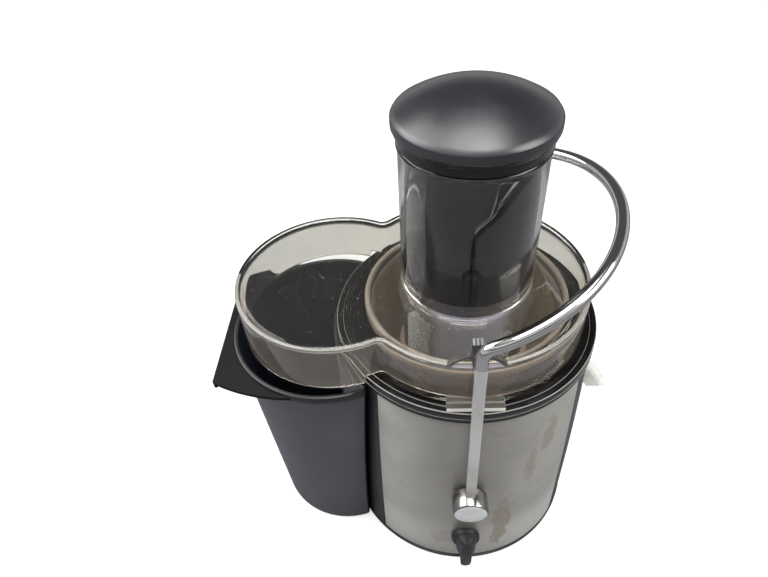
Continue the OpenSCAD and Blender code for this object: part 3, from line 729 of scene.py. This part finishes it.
def lid_outline(grow):
    """The lid's outline, anticlockwise from the spout side, offset by grow. Its points keep their order."""
    cx, cy = neck_centre()
    to_lid = math.atan2(cy, cx)
    to_lobe = math.atan2(cy, cx + LOBE_X)
    window = [math.asin(x / LID_R) for x in (TAB_W - 0.12, TAB_W + 0.12)]
    turns = [to_lid * i / 60 for i in range(61)]
    turns += [math.pi / 2 + s * w for s in (-1, 1) for w in window]
    main = [((LID_R + grow) * math.cos(a), (LID_R + grow) * math.sin(a)) for a in sorted(turns)]
    fillet = arc((cx, cy), NECK_R - grow, to_lid - math.pi, to_lobe - math.pi, 12)[1:-1]
    lobe = arc((-LOBE_X, 0), LOBE_R + grow, to_lobe, math.pi, 60)
    upper = main + fillet + lobe
    lower = [(x, -y) for x, y in reversed(upper[1:-1])]
    return upper + lower


def lid_ring(grow, z, floor=False, window=False):
    """One ring of the lid's skin. On the floor its height counts from the skirt's lower edge. With a window
    it goes no higher than the panel in front of each cam."""
    ring = []
    for (x, y), (ox, oy) in zip(lid_outline(grow), lid_outline(0)):
        low = SEAT if math.hypot(ox, oy) < LOBE_START else SEAT - LOBE_DROP
        at = z + low if floor else z
        if window and abs(ox) <= TAB_W and math.hypot(ox, oy) < LID_R + 0.5:
            at = min(at, LID_PANEL)
        ring.append((x, y, at))
    return ring


def tube_ring(r, z):
    """A ring of the feed tube whose points face those of the lid's outline."""
    ring = []
    for x, y in lid_outline(0):
        d = math.hypot(x, y)
        ring.append((x / d * r, y / d * r, z))
    return ring


def lid_body():
    """The lid as one wall: up the outside, over the rim, across the panel, up and down the feed tube, then
    back under the panel and down inside the skirt."""
    rim, panel, t = LID_RIM, LID_PANEL, CLEAR_T
    skirt, tube = (SEAT + 4, SEAT + 10, SEAT + 18), (250, 275, 300)
    under = panel - t
    inner = TUBE_R - t
    root = [(TUBE_R + 9, panel), (TUBE_R + 0.5, panel), (TUBE_R + 0.15, panel + 0.15)]
    end = [(inner + 0.6, TUBE_END), (TUBE_R - 0.6, TUBE_END), (TUBE_R, TUBE_END + 0.6)]
    joint = [(TUBE_R + 0.1, under - 0.1), (TUBE_R + 0.4, under), (TUBE_R + 9, under)]
    corner = [(-8, under), (-t - 2.5, under), (-t - 0.7, under - 0.7), (-t, under - 2.5)]
    lip = arc((TUBE_R - 0.8, TUBE_TOP - 1.7), 1.7, math.radians(-50), math.radians(150), 8)
    rings = [lid_ring(g, z, floor=True) for g, z in ((-0.5, 0.0), (-0.12, 0.12), (0, 0.5))]
    rings += [lid_ring(0, z) for z in (*skirt, rim - 3)]
    over = [(0, rim - 0.5), (-0.07, rim - 0.23), (-0.23, rim - 0.07), (-0.5, rim), (-t + 0.4, rim)]
    over += [(-t + 0.2, rim - 0.06), (-t + 0.06, rim - 0.2), (-t, rim - 0.4), (-t - 0.1, panel + 0.2)]
    rings += [lid_ring(g, z, window=True) for g, z in over]
    rings += [lid_ring(-t - 0.4, panel), lid_ring(-8, panel)]
    rings += [tube_ring(r, z) for r, z in root]
    rings += [tube_ring(TUBE_R, z) for z in (panel + 0.5, *tube, TUBE_TOP - 5)]
    rings += [tube_ring(r, z) for r, z in lip]
    rings += [tube_ring(inner, z) for z in (TUBE_TOP - 1.4, *reversed(tube), 225, 190, TUBE_END + 0.7)]
    rings += [tube_ring(r, z) for r, z in end]
    rings += [tube_ring(TUBE_R, z) for z in (190, under - 0.5)]
    rings += [tube_ring(r, z) for r, z in joint]
    rings += [lid_ring(g, z) for g, z in corner]
    rings += [lid_ring(-t, z) for z in reversed(skirt)]
    rings += [lid_ring(g, z, floor=True) for g, z in ((-t, 0.5), (-t + 0.12, 0.12), (-t + 0.5, 0.0))]
    return skin(rings)


def cams():
    """The arched rib over each window of the rim, which a bail lug rides over."""
    middle = CAM_TOP - CAM_R
    half = math.acos((LID_PANEL - 0.3 - middle) / CAM_R)
    outer = arc((0, middle), CAM_R, math.pi / 2 + half, math.pi / 2 - half, 28)
    inner = arc((0, middle), CAM_R - 2, math.pi / 2 - half * 0.93, math.pi / 2 + half * 0.93, 28)
    return mirrored(prism(outer + inner, (73.6, 77.4), UPRIGHT))


def tabs():
    """The flat tongues at the foot of the lid, which drop into the notches of the bowl's edge."""
    low, seat = RING_TOP + 0.5, SEAT
    hook = rounded([
        (-77.5, seat + 0.1), (-77.5, seat + 0.7), (-86.2, seat + 0.7), (-86.2, low), (-80.9, low),
        (-80.9, seat + 0.1)], 0.25, 3)
    across = (-TAB_W, -TAB_W + 0.3, TAB_W - 0.3, TAB_W)
    return mirrored(skin([[(x, y, z) for y, z in hook] for x in across], closed=False))


LID_FINISHES = (clear_lid, hazy_painted_reflection_plastic, clear_skirt, rim_painted_highlight, clear_tube)


def lid_slot(place, normal):
    """Hazy plastic, its middle band a painted reflection, on the tube below the panel and on the window
    sills, a painted highlight on the rim and a hazed skirt at the front.
    """
    out = math.hypot(place.x, place.y)
    at_sill = abs(place.x) < TAB_W and LID_R - 3 < out < LID_R + 1 and place.z > LID_PANEL - 0.5
    if out < TUBE_R + 0.6 and place.z < LID_PANEL + 0.4 or at_sill:
        return 1
    if out < TUBE_R + 2:
        return 4
    # The rim's top at the front takes the less clear plastic as a painted highlight
    if place.z > LID_RIM - 0.2 and place.y < 5:
        return 3
    return 2 if place.z < LID_PANEL - CLEAR_T - 0.4 and place.y < 0 else 0


lid = painted(thing("clear_lid", lid_body(), *LID_FINISHES), lid_slot)
hand_over(smooth(lid, 28), "base", "lid", "feed_tube")
hand_over(bevelled(thing("lid_cams", cams(), smoky_rib), 0.3), "base", slot="lid")
tongues = thing("lid_tabs", tabs(), frosted_tab, tab_painted_highlight)
# The tabs' upright faces take the lighter plastic as a painted highlight along their edges
painted(tongues, lambda place, normal: int(abs(normal.y) > 0.6 or abs(normal.x) > 0.6))
hand_over(smooth(tongues), "base", slot="lid")


# --- spinning basket ---

SIEVE_FOOT = (43.5, 154.5)
SIEVE_TOP = (63.5, 203.0)
SIEVE_T = 0.8
LIP_FOOT = SIEVE_TOP[1] - 1.5

basket = softened("filter_basket", "basket_frame", 0.4, basket_plastic, lip_plastic)
painted(basket, lambda place, normal: int(place.z > LIP_FOOT))
hand_over(basket, "rotor", "filter_basket")


class Grower:
    """A geometry node tree that works on a mesh. Its inputs are given as name=(socket kind, default)."""

    def __init__(self, name, build, **inputs):
        self.tree = bpy.data.node_groups.new(name, "GeometryNodeTree")
        self.ids = {}
        inputs = {"Geometry": ("Geometry", None), **inputs, "Material": ("Material", None)}
        for label, (kind, value) in inputs.items():
            socket = self.tree.interface.new_socket(label, in_out="INPUT", socket_type="NodeSocket" + kind)
            if value is not None:
                socket.default_value = value
            self.ids[label] = socket.identifier
        self.tree.interface.new_socket("Geometry", in_out="OUTPUT", socket_type="NodeSocketGeometry")
        t = Tree(self.tree)
        source = self.tree.nodes.new("NodeGroupInput").outputs
        real = t.add("GeometryNodeRealizeInstances", {0: build(t, source)})
        done = t.add("GeometryNodeSetMaterial", {"Geometry": real.outputs[0], "Material": source["Material"]})
        t.put(self.tree.nodes.new("NodeGroupOutput").inputs[0], done.outputs[0])

    def run(self, obj, **values):
        """Runs the tree on an object and keeps the result as a plain mesh."""
        mod = obj.modifiers.new("grow", "NODES")
        mod.node_group = self.tree
        for label, value in values.items():
            mod[self.ids[label]] = value
        return applied(obj)


def perforate(t, source):
    """Opens a hole in every face of the mesh and gives it thickness."""
    open_face = t.add("GeometryNodeExtrudeMesh", {
        "Mesh": source["Geometry"], "Offset Scale": 0.0, "Individual": True,
    }, mode="FACES")
    shrunk = t.add("GeometryNodeScaleElements", {
        "Geometry": open_face.outputs["Mesh"], "Selection": open_face.outputs["Top"],
        "Scale": source["Opening"],
    })
    holed = t.add("GeometryNodeDeleteGeometry", {
        "Geometry": shrunk.outputs[0], "Selection": open_face.outputs["Top"],
    }, domain="FACE")
    merged = t.add("GeometryNodeMergeByDistance", {"Geometry": holed.outputs[0], "Distance": 1e-6})
    flipped = t.add("GeometryNodeFlipFaces", {"Mesh": merged.outputs[0]})
    walls = t.add("GeometryNodeExtrudeMesh", {
        "Mesh": merged.outputs[0], "Offset Scale": source["Thickness"], "Individual": False,
    }, mode="FACES")
    both = t.add("GeometryNodeJoinGeometry")
    t.put(both.inputs[0], walls.outputs["Mesh"])
    t.put(both.inputs[0], flipped.outputs[0])
    return t.add("GeometryNodeMergeByDistance", {"Geometry": both.outputs[0], "Distance": 1e-6}).outputs[0]


def sieve_cone():
    """The open cone of the sieve, one face for each hole, its rows staggered."""
    around, rows = 132, 20
    bm = bmesh.new()
    loops = []
    for k in range(rows + 1):
        r, z = (low + (high - low) * k / rows for low, high in zip(SIEVE_FOOT, SIEVE_TOP))
        turns = [math.pi / around * (2 * i + k) for i in range(around)]
        loops.append([bm.verts.new((r * math.cos(a), r * math.sin(a), z)) for a in turns])
    for low, high in zip(loops, loops[1:]):
        for i in range(around):
            k = (i + 1) % around
            bm.faces.new([low[i], low[k], high[k], high[i]])
    return bm


perforator = Grower("Perforate", perforate, Opening=("Float", 0.5), Thickness=("Float", 0.0008))
sieve = thing("perforated_sieve", sieve_cone(), sieve_steel)
perforator.run(sieve, Opening=0.5, Thickness=SIEVE_T * MM, Material=sieve_steel)
hand_over(sieve, "rotor", "sieve")


def sieve_r(z):
    """Inner radius of the sieve at height z."""
    share = (z - SIEVE_FOOT[1]) / (SIEVE_TOP[1] - SIEVE_FOOT[1])
    return SIEVE_FOOT[0] + (SIEVE_TOP[0] - SIEVE_FOOT[0]) * share


def basket_lip():
    """The smooth lip that the frame turns in over the top edge of the sieve."""
    low, high = SIEVE_TOP[1] - 5, SIEVE_TOP[1] + 0.6
    return lathe(rounded([
        (sieve_r(low) - 0.1, low), (sieve_r(low) - 0.8, low + 0.1), (sieve_r(high) - 1.0, high),
        (sieve_r(high) - 0.1, high)], 0.25, 2), 160)


lip = smooth(thing("basket_lip", basket_lip(), lip_plastic))
hand_over(lip, "rotor", slot="filter_basket")


# --- dried specks under the lid ---

def sprinkle(t, source):
    """Scatters small flattened drops over a flat mesh."""
    spots = t.add("GeometryNodeDistributePointsOnFaces", {
        "Mesh": source["Geometry"], "Density": source["Density"], "Seed": source["Seed"],
    })
    drop = t.add("GeometryNodeMeshIcoSphere", {"Radius": source["Size"], "Subdivisions": 1})
    sizes = t.add("FunctionNodeRandomValue", data_type="FLOAT_VECTOR")
    for name, value in (("Min", (0.25, 0.25, 0.15)), ("Max", (1.0, 1.0, 0.4))):
        sizes.inputs[name].default_value = value
    t.put(sizes.inputs["Seed"], source["Seed"])
    return t.add("GeometryNodeInstanceOnPoints", {
        "Points": spots.outputs["Points"], "Instance": drop.outputs["Mesh"], "Scale": sizes.outputs["Value"],
    }).outputs[0]


SPECK_R = 0.32
UNDER_LID = LID_PANEL - CLEAR_T - 0.13

sprinkler = Grower("Sprinkle", sprinkle, Density=("Float", 20000.0), Size=("Float", 0.0003), Seed=("Int", 3))
for name, centre, inner, outer, density, seed in (
    ("lobe_specks", (-LOBE_X - 4, 0), 0, 55, 14000.0, 3), ("lobe_splash", (-89, -14), 0, 24, 22000.0, 5),
    ("lid_specks", (0, 0), 45, 73, 8000.0, 7),
):
    inside = circle(inner, 48, UNDER_LID, centre) if inner else [(centre[0], centre[1], UNDER_LID)]
    specks = thing(name, skin([inside, circle(outer, 48, UNDER_LID, centre)], False, False), dried_specks)
    sprinkler.run(specks, Density=density, Size=SPECK_R * MM, Seed=seed, Material=dried_specks)
    hand_over(specks, "base", slot="lid")


# --- pusher ---

COLLAR_R = 36.5
COLLAR_H = 8.2


def cap_profile():
    """The cap's half section: shallow dome, stepped edge, and the collar that rests on the tube."""
    edge = CAP_FOOT + 14
    rise = CAP_TOP - edge - 1.6
    ball = (rise * rise + (CAP_R - 1.4) ** 2) / (2 * rise)
    sweep = math.asin((CAP_R - 1.4) / ball)
    dome = arc((0, CAP_TOP - ball), ball, math.pi / 2, math.pi / 2 - sweep, 24)
    dome[0] = (0.0, CAP_TOP)
    side = rounded([
        dome[-1], (CAP_R, edge - 0.4), (CAP_R, edge - 5), (CAP_R - 0.9, edge - 6.2), (CAP_R - 1.1, edge - 8),
        (CAP_R - 2.6, edge - 9), (CAP_R - 2.6, CAP_FOOT), (COLLAR_R, CAP_FOOT), (COLLAR_R, CAP_FOOT + 5)],
        [0, 1.4, 0.8, 0.3, 0.5, 0.3, 0.6, 0.4, 0.4], 5, closed=False)
    return dome[:-1] + side + [(0.0, CAP_FOOT + 5)]


cap = thing("pusher_domed_cap", lathe(cap_profile(), 200), cap_plastic, gloss_black)
painted(cap, lambda place, normal: int(place.z < CAP_FOOT + COLLAR_H))
hand_over(smooth(cap), "pusher", "pusher_cap")


def pusher_shell():
    """The pusher inside the tube: a cup with a seam a third of the way up and a key groove at the front."""
    seam = PUSHER_FOOT + 28
    foot = PUSHER_FOOT - 3
    groove_w, groove_depth = 1.8, 1.3
    outside = [
        (PUSHER_R - 3.2, foot), (PUSHER_R - 2.0, foot + 0.2), (PUSHER_R - 0.9, foot + 1.2),
        (PUSHER_R - 0.6, foot + 2.4), (PUSHER_R - 0.6, seam - 0.2), (PUSHER_R - 1.2, seam),
        (PUSHER_R - 1.2, seam + 0.6), (PUSHER_R - 0.3, seam + 0.8), (PUSHER_R - 0.05, seam + 1.4),
        (PUSHER_R - 0.05, CAP_FOOT - 0.6), (PUSHER_R - 0.5, CAP_FOOT)]
    inside = [(PUSHER_R - 3, CAP_FOOT), (PUSHER_R - 3, PUSHER_FOOT + 4), (PUSHER_R - 5, PUSHER_FOOT + 2.5)]
    turns = sorted([2 * math.pi * i / 160 for i in range(160)] + [
        1.5 * math.pi + s * math.asin((groove_w + d) / PUSHER_R) for s in (-1, 1) for d in (-0.2, 0.2)])
    rings = [[(0, 0, foot)]]
    for r, z in outside + inside:
        ring = []
        for a in turns:
            x, y = r * math.cos(a), r * math.sin(a)
            groove = y < 0 and abs(x) < groove_w and r > PUSHER_R - 2 and z < seam
            share = 1 - groove_depth / r if groove else 1
            ring.append((x * share, y * share, z))
        rings.append(ring)
    rings.append([(0, 0, PUSHER_FOOT + 2.5)])
    return skin(rings, closed=False, caps=False)


pusher = smooth(thing("pusher_plunger", pusher_shell(), pusher_plastic))
hand_over(pusher, "pusher", "pusher_body")


# --- pulp bin ---

BIN_X = 95.0
BIN_R_FOOT = 57.0
BIN_R_RIM = 66.5
BIN_WALL = 2.4
BIN_GAP = 1.2
BIN_RIM_H = 7.5
HORN_R = 2.6
GRIP_HALF = 50.5


def bin_outline(grow, z, hollow=None):
    """The bin's crescent at height z, offset by grow, anticlockwise from its front horn."""
    outer = BIN_R_FOOT + (BIN_R_RIM - BIN_R_FOOT) * (z - BIN_FOOT) / (BIN_TOP - BIN_FOOT) + grow
    inner = (hollow or wall_r(z) + BIN_GAP) - grow
    f = max(HORN_R + min(grow, 0), 0.3)
    a, b, d = outer - f, inner + f, BIN_X
    x = -(b * b - a * a + d * d) / (2 * d)
    y = math.sqrt(b * b - x * x)
    to_outer = math.atan2(y, x + BIN_X)
    to_inner = math.atan2(y, x)
    horn_arc = arc((x, y), f, to_inner - math.pi, to_outer, 8)
    big = arc((-BIN_X, 0), outer, to_outer, math.pi, 50)[1:]
    hollow_side = arc((0, 0), inner, math.pi, to_inner, 24)[:-1]
    upper = hollow_side + horn_arc + big
    lower = [(px, -py) for px, py in reversed(upper[1:-1])]
    return upper + lower


def bin_shell():
    """The bin's wall with a rolled rim and a rounded foot, its inside closed by the floor."""
    top_hollow = RING_R + 0.8
    hollow_reach, blend = 92, 10
    out = [(-1.6, 0.0), (-0.5, 0.5)] + [(0.0, z) for z in (1.8, 20.0, 60.0, 100.0, 140.0, 174.6)]
    rim = [(0.7, 175.6), (1.0, 176.8), (1.0, 180.4), (0.6, 181.6), (-0.2, 182.1), (-1.2, 182.1)]
    back = [(-2.0, 181.7)] + [(-BIN_WALL, z) for z in (180.8, 140.0, 100.0, 60.0, 20.0, 6.0)]
    back += [(-BIN_WALL - 1.0, 4.0), (-BIN_WALL - 3.0, 3.0)]
    rings = []
    for grow, z in out + rim + back:
        at = BIN_FOOT + z
        # The rolled rim stands out only on the round side, so the hollow side keeps its gap to the base
        outside = bin_outline(grow, at)
        inside = bin_outline(min(grow, 0), at, top_hollow if z > 180.5 else None)
        ring = []
        for (ox, oy), (ix, iy) in zip(outside, inside):
            share = min(max((math.hypot(ix, iy) - hollow_reach) / blend, 0), 1)
            ring.append((ix + (ox - ix) * share, iy + (oy - iy) * share, at))
        rings.append(ring)
    return skin(rings, closed=False)


def grip():
    """The flat pointed grip that runs out of the rim, with its turned-down finger edge."""
    top, curve_r = BIN_TOP - 2.4, 115.0
    tip = math.asin(55.0 / curve_r)
    rear = arc((-BIN_X - 18, -GRIP_HALF), curve_r, math.pi / 2 + tip, math.pi / 2 - 0.14, 20)
    edge = rear + [(x, -y) for x, y in reversed(rear)]
    plate = prism(edge, (top - 2.6, top))
    return plate, box((GRIP_X, GRIP_X + 2.2), (-GRIP_HALF + 0.2, GRIP_HALF - 0.2), (top - 6.6, top - 0.4))


def bin_slot(place, normal):
    """A black rim, and an inside painted darker as shade. The hollow side's inner face looks away from the
    bin's middle.
    """
    if place.z > BIN_TOP - BIN_RIM_H:
        return 2
    to_middle = Vector((-BIN_X - place.x, -place.y, 0)).normalized()
    faces_in = normal.x * to_middle.x + normal.y * to_middle.y > 0.2
    round_side = math.hypot(place.x, place.y) > wall_r(place.z) + 4
    return int(place.z > BIN_FOOT + 2 and (faces_in == round_side or normal.z > 0.5))


pulp_bin = painted(thing("pulp_bin_shell", bin_shell(), bin_plastic, bin_inside_painted_shade, black_plastic), bin_slot)
plate, finger_edge = grip()
handle = carved(thing("bin_grip", plate, grip_plastic), finger_edge, "UNION")
room = prism(bin_outline(-0.6, BIN_TOP - 8), (BIN_TOP - 20, BIN_TOP + 5))
handle = bevelled(carved(handle, room), 0.5)
hand_over(smooth(pulp_bin), "pulp_bin", "pulp_bin")
hand_over(smooth(handle), "pulp_bin", slot="pulp_bin")


# --- bail ---

BOW_R = 90.0
BOW_Z = LID_RIM + 26.5
BOW_TILT = math.radians(20)
ELBOW_R = 10.0
ELBOW_TURN = math.pi / 2 - BOW_TILT
ELBOW_X = ELBOW_R * (1 - math.cos(ELBOW_TURN))
ELBOW_Z = BOW_Z + ELBOW_X * math.tan(BOW_TILT) - ELBOW_R * math.sin(ELBOW_TURN)
BOW_START = math.asin(ELBOW_X / math.cos(BOW_TILT) / BOW_R)
LEG_Y = 97.0
LEG_Z = PIVOT_Z + 8
ROD_R = 3.8
LEG_HALF = (3.3, 2.4)


def bail_path():
    """Stations along the front half of the bail: place, broad direction and how round the rod is there."""
    stations = []
    for i in range(25):
        share = i / 24
        place = Vector((0, -LEG_Y + (LEG_Y - BOW_R) * share, LEG_Z + (ELBOW_Z - LEG_Z) * share))
        stations.append((place, Vector((1, 0, 0)), max(0, share * 8 - 7)))
    for i in range(1, 17):
        a = ELBOW_TURN * i / 16
        y = -BOW_R + (BOW_R - BOW_R * math.cos(BOW_START)) * i / 16
        place = Vector((ELBOW_R * (1 - math.cos(a)), y, ELBOW_Z + ELBOW_R * math.sin(a)))
        stations.append((place, Vector((math.cos(a), 0, -math.sin(a))), 1.0))
    across = Vector((math.sin(BOW_TILT), 0, -math.cos(BOW_TILT)))
    for i in range(1, 61):
        a = -math.pi / 2 + BOW_START + (math.pi / 2 - BOW_START) * i / 60
        out = BOW_R * math.cos(a)
        place = Vector((out * math.cos(BOW_TILT), BOW_R * math.sin(a), BOW_Z + out * math.sin(BOW_TILT)))
        stations.append((place, across, 1.0))
    return stations


def bail_shape():
    """The bent rod. Its legs are pressed flat and turn round again just below the elbows."""
    front = bail_path()
    rear = [(Vector((p.x, -p.y, p.z)), w, k) for p, w, k in reversed(front[:-1])]
    path = front + rear
    rings = []
    for i, (place, broad, round_share) in enumerate(path):
        ahead = path[min(i + 1, len(path) - 1)][0] - path[max(i - 1, 0)][0]
        deep = ahead.normalized().cross(broad).normalized()
        wide = LEG_HALF[0] + (ROD_R - LEG_HALF[0]) * round_share
        thick = LEG_HALF[1] + (ROD_R - LEG_HALF[1]) * round_share
        wide *= min(1, 0.6 + 0.2 * min(i, len(path) - 1 - i))
        # From a flat bar with rounded corners to a round rod
        power = 2 / (7 - 5 * round_share)
        ring = []
        for k in range(28):
            a = 2 * math.pi * k / 28
            u = math.copysign(abs(math.cos(a)) ** power, math.cos(a))
            v = math.copysign(abs(math.sin(a)) ** power, math.sin(a))
            ring.append(place + broad * wide * u + deep * thick * v)
        rings.append(ring)
    return skin(rings, closed=False)


bail = thing("bail_bow", bail_shape(), chrome, leg_chrome_painted_reflection)
# The flattened legs take the lighter chrome as a painted reflection
painted(bail, lambda place, normal: int(place.z < ELBOW_Z - 8 and abs(place.y) > LEG_Y - 12))
hand_over(smooth(bail, 50), "bail", "bail")


def turned_part(profile, z):
    """A part turned about an axis that points to the front at height z. The profile counts its lengths
    forward from the drive axis."""
    bm = lathe(profile, 96)
    bmesh.ops.transform(bm, matrix=UPRIGHT, verts=bm.verts)
    bmesh.ops.recalc_face_normals(bm, faces=bm.faces)
    bmesh.ops.translate(bm, vec=(0, 0, z), verts=bm.verts)
    return bm


def pivot_cap():
    """A chromed cap with a rounded edge, bored for its pin."""
    face, inner, bore, bore_end = PIVOT_FACE, 91.2, 4.05, 101.5
    profile = [
        (0, face), (6, face - 0.02), (10.9, face - 0.15), (11.6, face - 0.5), (12, face - 1.3),
        (12, inner + 0.8), (11.5, inner), (bore + 0.25, inner), (bore, inner + 0.3), (bore, bore_end),
        (0, bore_end)]
    return turned_part(profile, PIVOT_Z)


caps = thing("pivot_chrome_caps", mirrored(pivot_cap()), dull_chrome, satin_chrome_painted_reflection)
# The flat faces take the near-white chrome as a painted reflection
painted(caps, lambda place, normal: int(abs(place.y) > PIVOT_FACE - 0.2))
hand_over(smooth(caps, 30), "bail", "pivot_caps")


def lug_block():
    """The black shoe under each elbow. The ribbed metal nose that shows inside the rim is made by lug_nose.
    """
    low, near, far = CAM_TOP + 0.4, -88.3, -77.8
    corners = [(near, low + 0.8), (near, low + 10.8), (far, low + 9.2), (far, low)]
    side = rounded(corners, [1.2, 1.6, 1.0, 0.4])
    return skin([[(x, y, z) for y, z in side] for x in (-4, -3.6, 3.6, 4)], closed=False)


def lug_nose():
    """The ribbed nose, its ribs across the top."""
    low, half, rib, pitch = CAM_TOP + 0.7, 3.2, 0.4, 2.1
    top = []
    for i in range(37):
        x = half - 2 * half * i / 36
        top.append((x, low + 8.2 + rib * math.cos(x * 2 * math.pi / pitch)))
    return prism([(-half, low), (half, low)] + top, (72.5, 78.0), UPRIGHT)


shoes = bevelled(thing("bail_lug_shoes", mirrored(lug_block()), black_plastic), 0.5)
hand_over(smooth(shoes), "bail", "bail_lugs")
noses = smooth(thing("bail_lug_noses", mirrored(lug_nose()), machined), 40)
hand_over(noses, "bail", slot="bail_lugs")


# --- switch ---

KNOB_FACE = -span("switch_knob")[0].y


def knob_dial():
    """The knob's round base, bored for the spindle. Its depths count from the face of the grip."""
    section = [
        (0, 8), (7.6, 8), (9.2, 8.8), (10.4, 10.6), (10.6, 13.4), (10.2, 13.8), (3.1, 13.8), (3.05, 8.6),
        (0, 8.6)]
    return turned_part([(r, KNOB_FACE - depth) for r, depth in section], KNOB_Z)


def knob_grip():
    """The grip: a straight blade with a blunt tail, and flanks that swell where it leaves the dial."""
    low, high, steps = -22.6, 16.0, 44
    half_width, bulge, bulge_from, bulge_over = 4.1, 3.3, -10.5, 6.5
    rings = []
    for depth, swell in ((8.6, 1.0), (4.5, 0.8), (2.2, 0.35), (0.9, 0.0), (0.25, -0.12), (0.0, -0.35)):
        side = []
        for i in range(steps + 1):
            share = i / steps
            z = low + (high - low) * share
            end = max(1 - abs(2 * share - 1) ** 9, 0) ** 0.5
            rise = min(max((z - bulge_from) / bulge_over, 0), 1)
            flank = bulge * rise * rise * (3 - 2 * rise) * max(swell, 0)
            side.append(((half_width + flank + 0.6 * min(swell, 0)) * end + 0.02, z))
        ring = [(x, z) for x, z in side] + [(-x, z) for x, z in reversed(side)]
        rings.append([(x, -(KNOB_FACE - depth), z + KNOB_Z) for x, z in ring])
    return skin(rings, closed=False)


grip_piece = smooth(bevelled(thing("knob_grip", knob_grip(), knob_plastic), 0.35), 40)
hand_over(grip_piece, "knob", slot="switch_knob")
dial = smooth(thing("switch_dial", knob_dial(), knob_plastic))
hand_over(dial, "knob", "switch_knob")


# --- CAD nodes that keep their shape ---

FINISHES = {
    black_plastic: ("base_plate", "switch_body", "interlock_switch", "drive_coupling"),
    rubber: ("feet", "motor_bushes", "shaft_seal", "bowl_seal"),
    machined: ("base_screws", "pivot_pins", "motor_bracket", "motor_screws", "bearings", "motor_shaft",
               "grater_disc", "disc_hub"),
    laminations: ("motor_stator", "armature"),
    copper: ("field_coils", "commutator"),
    brown_board: ("brush_holders",),
    white_plastic: ("cooling_fan", "switch_spindle"),
}
for finish, nodes in FINISHES.items():
    for node in nodes:
        for slot in frame["nodes"][node].material_slots:
            slot.material = finish


# --- studio ---

def studio():
    """A pale floor, a near-white room and three soft lights. The floor is darker to light that has already
    met a piece, so that black and polished pieces don't mirror a white table."""
    floor_mesh = bpy.data.meshes.new("floor")
    r = 6.0
    floor_mesh.from_pydata([(-r, -r, 0), (r, -r, 0), (r, r, 0), (-r, r, 0)], [], [(0, 1, 2, 3)])
    m, t = new_material("Pale floor")
    rays = t.add("ShaderNodeLightPath").outputs
    bounced = t.plus(rays["Glossy Depth"], rays["Diffuse Depth"])
    pale = t.add("ShaderNodeBsdfDiffuse", {"Color": (0.5, 0.5, 0.5, 1)})
    lift = t.add("ShaderNodeEmission", {"Color": (1, 1, 1, 1), "Strength": 0.5})
    seen = t.add("ShaderNodeAddShader", {0: pale.outputs[0], 1: lift.outputs[0]})
    mirrored_floor = t.add("ShaderNodeBsdfDiffuse", {"Color": (0.21, 0.21, 0.225, 1)})
    t.surface(t.add("ShaderNodeMixShader", {
        0: t.math("GREATER_THAN", bounced, 0.5), 1: seen.outputs[0], 2: mirrored_floor.outputs[0],
    }))
    m.cycles.emission_sampling = "NONE"
    floor_mesh.materials.append(m)
    floor = bpy.data.objects.new("floor", floor_mesh)
    bpy.context.scene.collection.objects.link(floor)

    world = bpy.data.worlds.new("Soft room")
    world.use_nodes = True
    t = Tree(world.node_tree)
    back = world.node_tree.nodes["Background"]
    way = t.axes(t.add("ShaderNodeTexCoord").outputs["Generated"])
    horizon = t.ramp(way[2], 0.28, 0.06, 0.0, 0.75)
    overhead = t.times(t.ramp(way[2], 0.88, 0.96, 0.0, 1.3), t.ramp(way[1], 0.42, 0.18))
    front_panel = t.times(t.ramp(way[2], 0.45, 0.55), t.ramp(way[2], 0.86, 0.8))
    front_panel = t.times(front_panel, t.ramp(way[1], 0.0, -0.35, 0.0, 0.9))
    sides = t.times(t.ramp(way[2], 0.1, 0.2), t.ramp(way[2], 0.6, 0.5))
    sides = t.times(sides, t.ramp(t.math("ABSOLUTE", way[0]), 0.5, 0.75, 0.0, 0.5))
    around = t.plus(front_panel, t.plus(sides, 0.13))
    level = t.plus(t.plus(horizon, overhead), around)
    lit = t.add("ShaderNodeCombineColor", {0: level, 1: level, 2: level}).outputs[0]
    seen = t.add("ShaderNodeLightPath").outputs["Is Camera Ray"]
    t.put(back.inputs[0], t.mix(seen, lit, (0.86, 0.86, 0.86, 1)))
    back.inputs[1].default_value = 1.0
    bpy.context.scene.world = world

    for name, place, size, power in (
        ("Window light", (-1.2, 0.3, 1.3), 1.2, 34), ("Fill light", (1.3, -0.4, 1.2), 0.9, 18),
        ("Top light", (0.05, -0.2, 1.7), 0.9, 24),
    ):
        lamp = bpy.data.lights.new(name, "AREA")
        lamp.size = size
        lamp.energy = power
        obj = bpy.data.objects.new(name, lamp)
        obj.location = place
        obj.rotation_euler = (Vector((0, 0, 0.15)) - Vector(place)).to_track_quat("-Z", "Y").to_euler()
        bpy.context.scene.collection.objects.link(obj)


def camera():
    """The camera, by its eye, the way it looks and its roll."""
    eye = Vector((-0.00755, -0.28752, 0.48388))
    ahead = Vector((-0.04865, 0.72681, -0.68511)).normalized()
    level = Vector((0.99777, 0.06679, 0)).normalized()
    below = ahead.cross(level)
    roll = math.radians(4.006)
    side = level * math.cos(roll) + below * math.sin(roll)
    up = level * math.sin(roll) - below * math.cos(roll)
    data = bpy.data.cameras.new("Camera")
    data.lens = 27.615
    data.sensor_width = 36
    data.clip_start = 0.01
    obj = bpy.data.objects.new("Camera", data)
    obj.matrix_world = Matrix.Translation(eye) @ Matrix((side, up, -ahead)).transposed().to_4x4()
    bpy.context.scene.collection.objects.link(obj)
    bpy.context.scene.camera = obj


studio()
camera()
bpy.context.scene.view_settings.view_transform = "Standard"
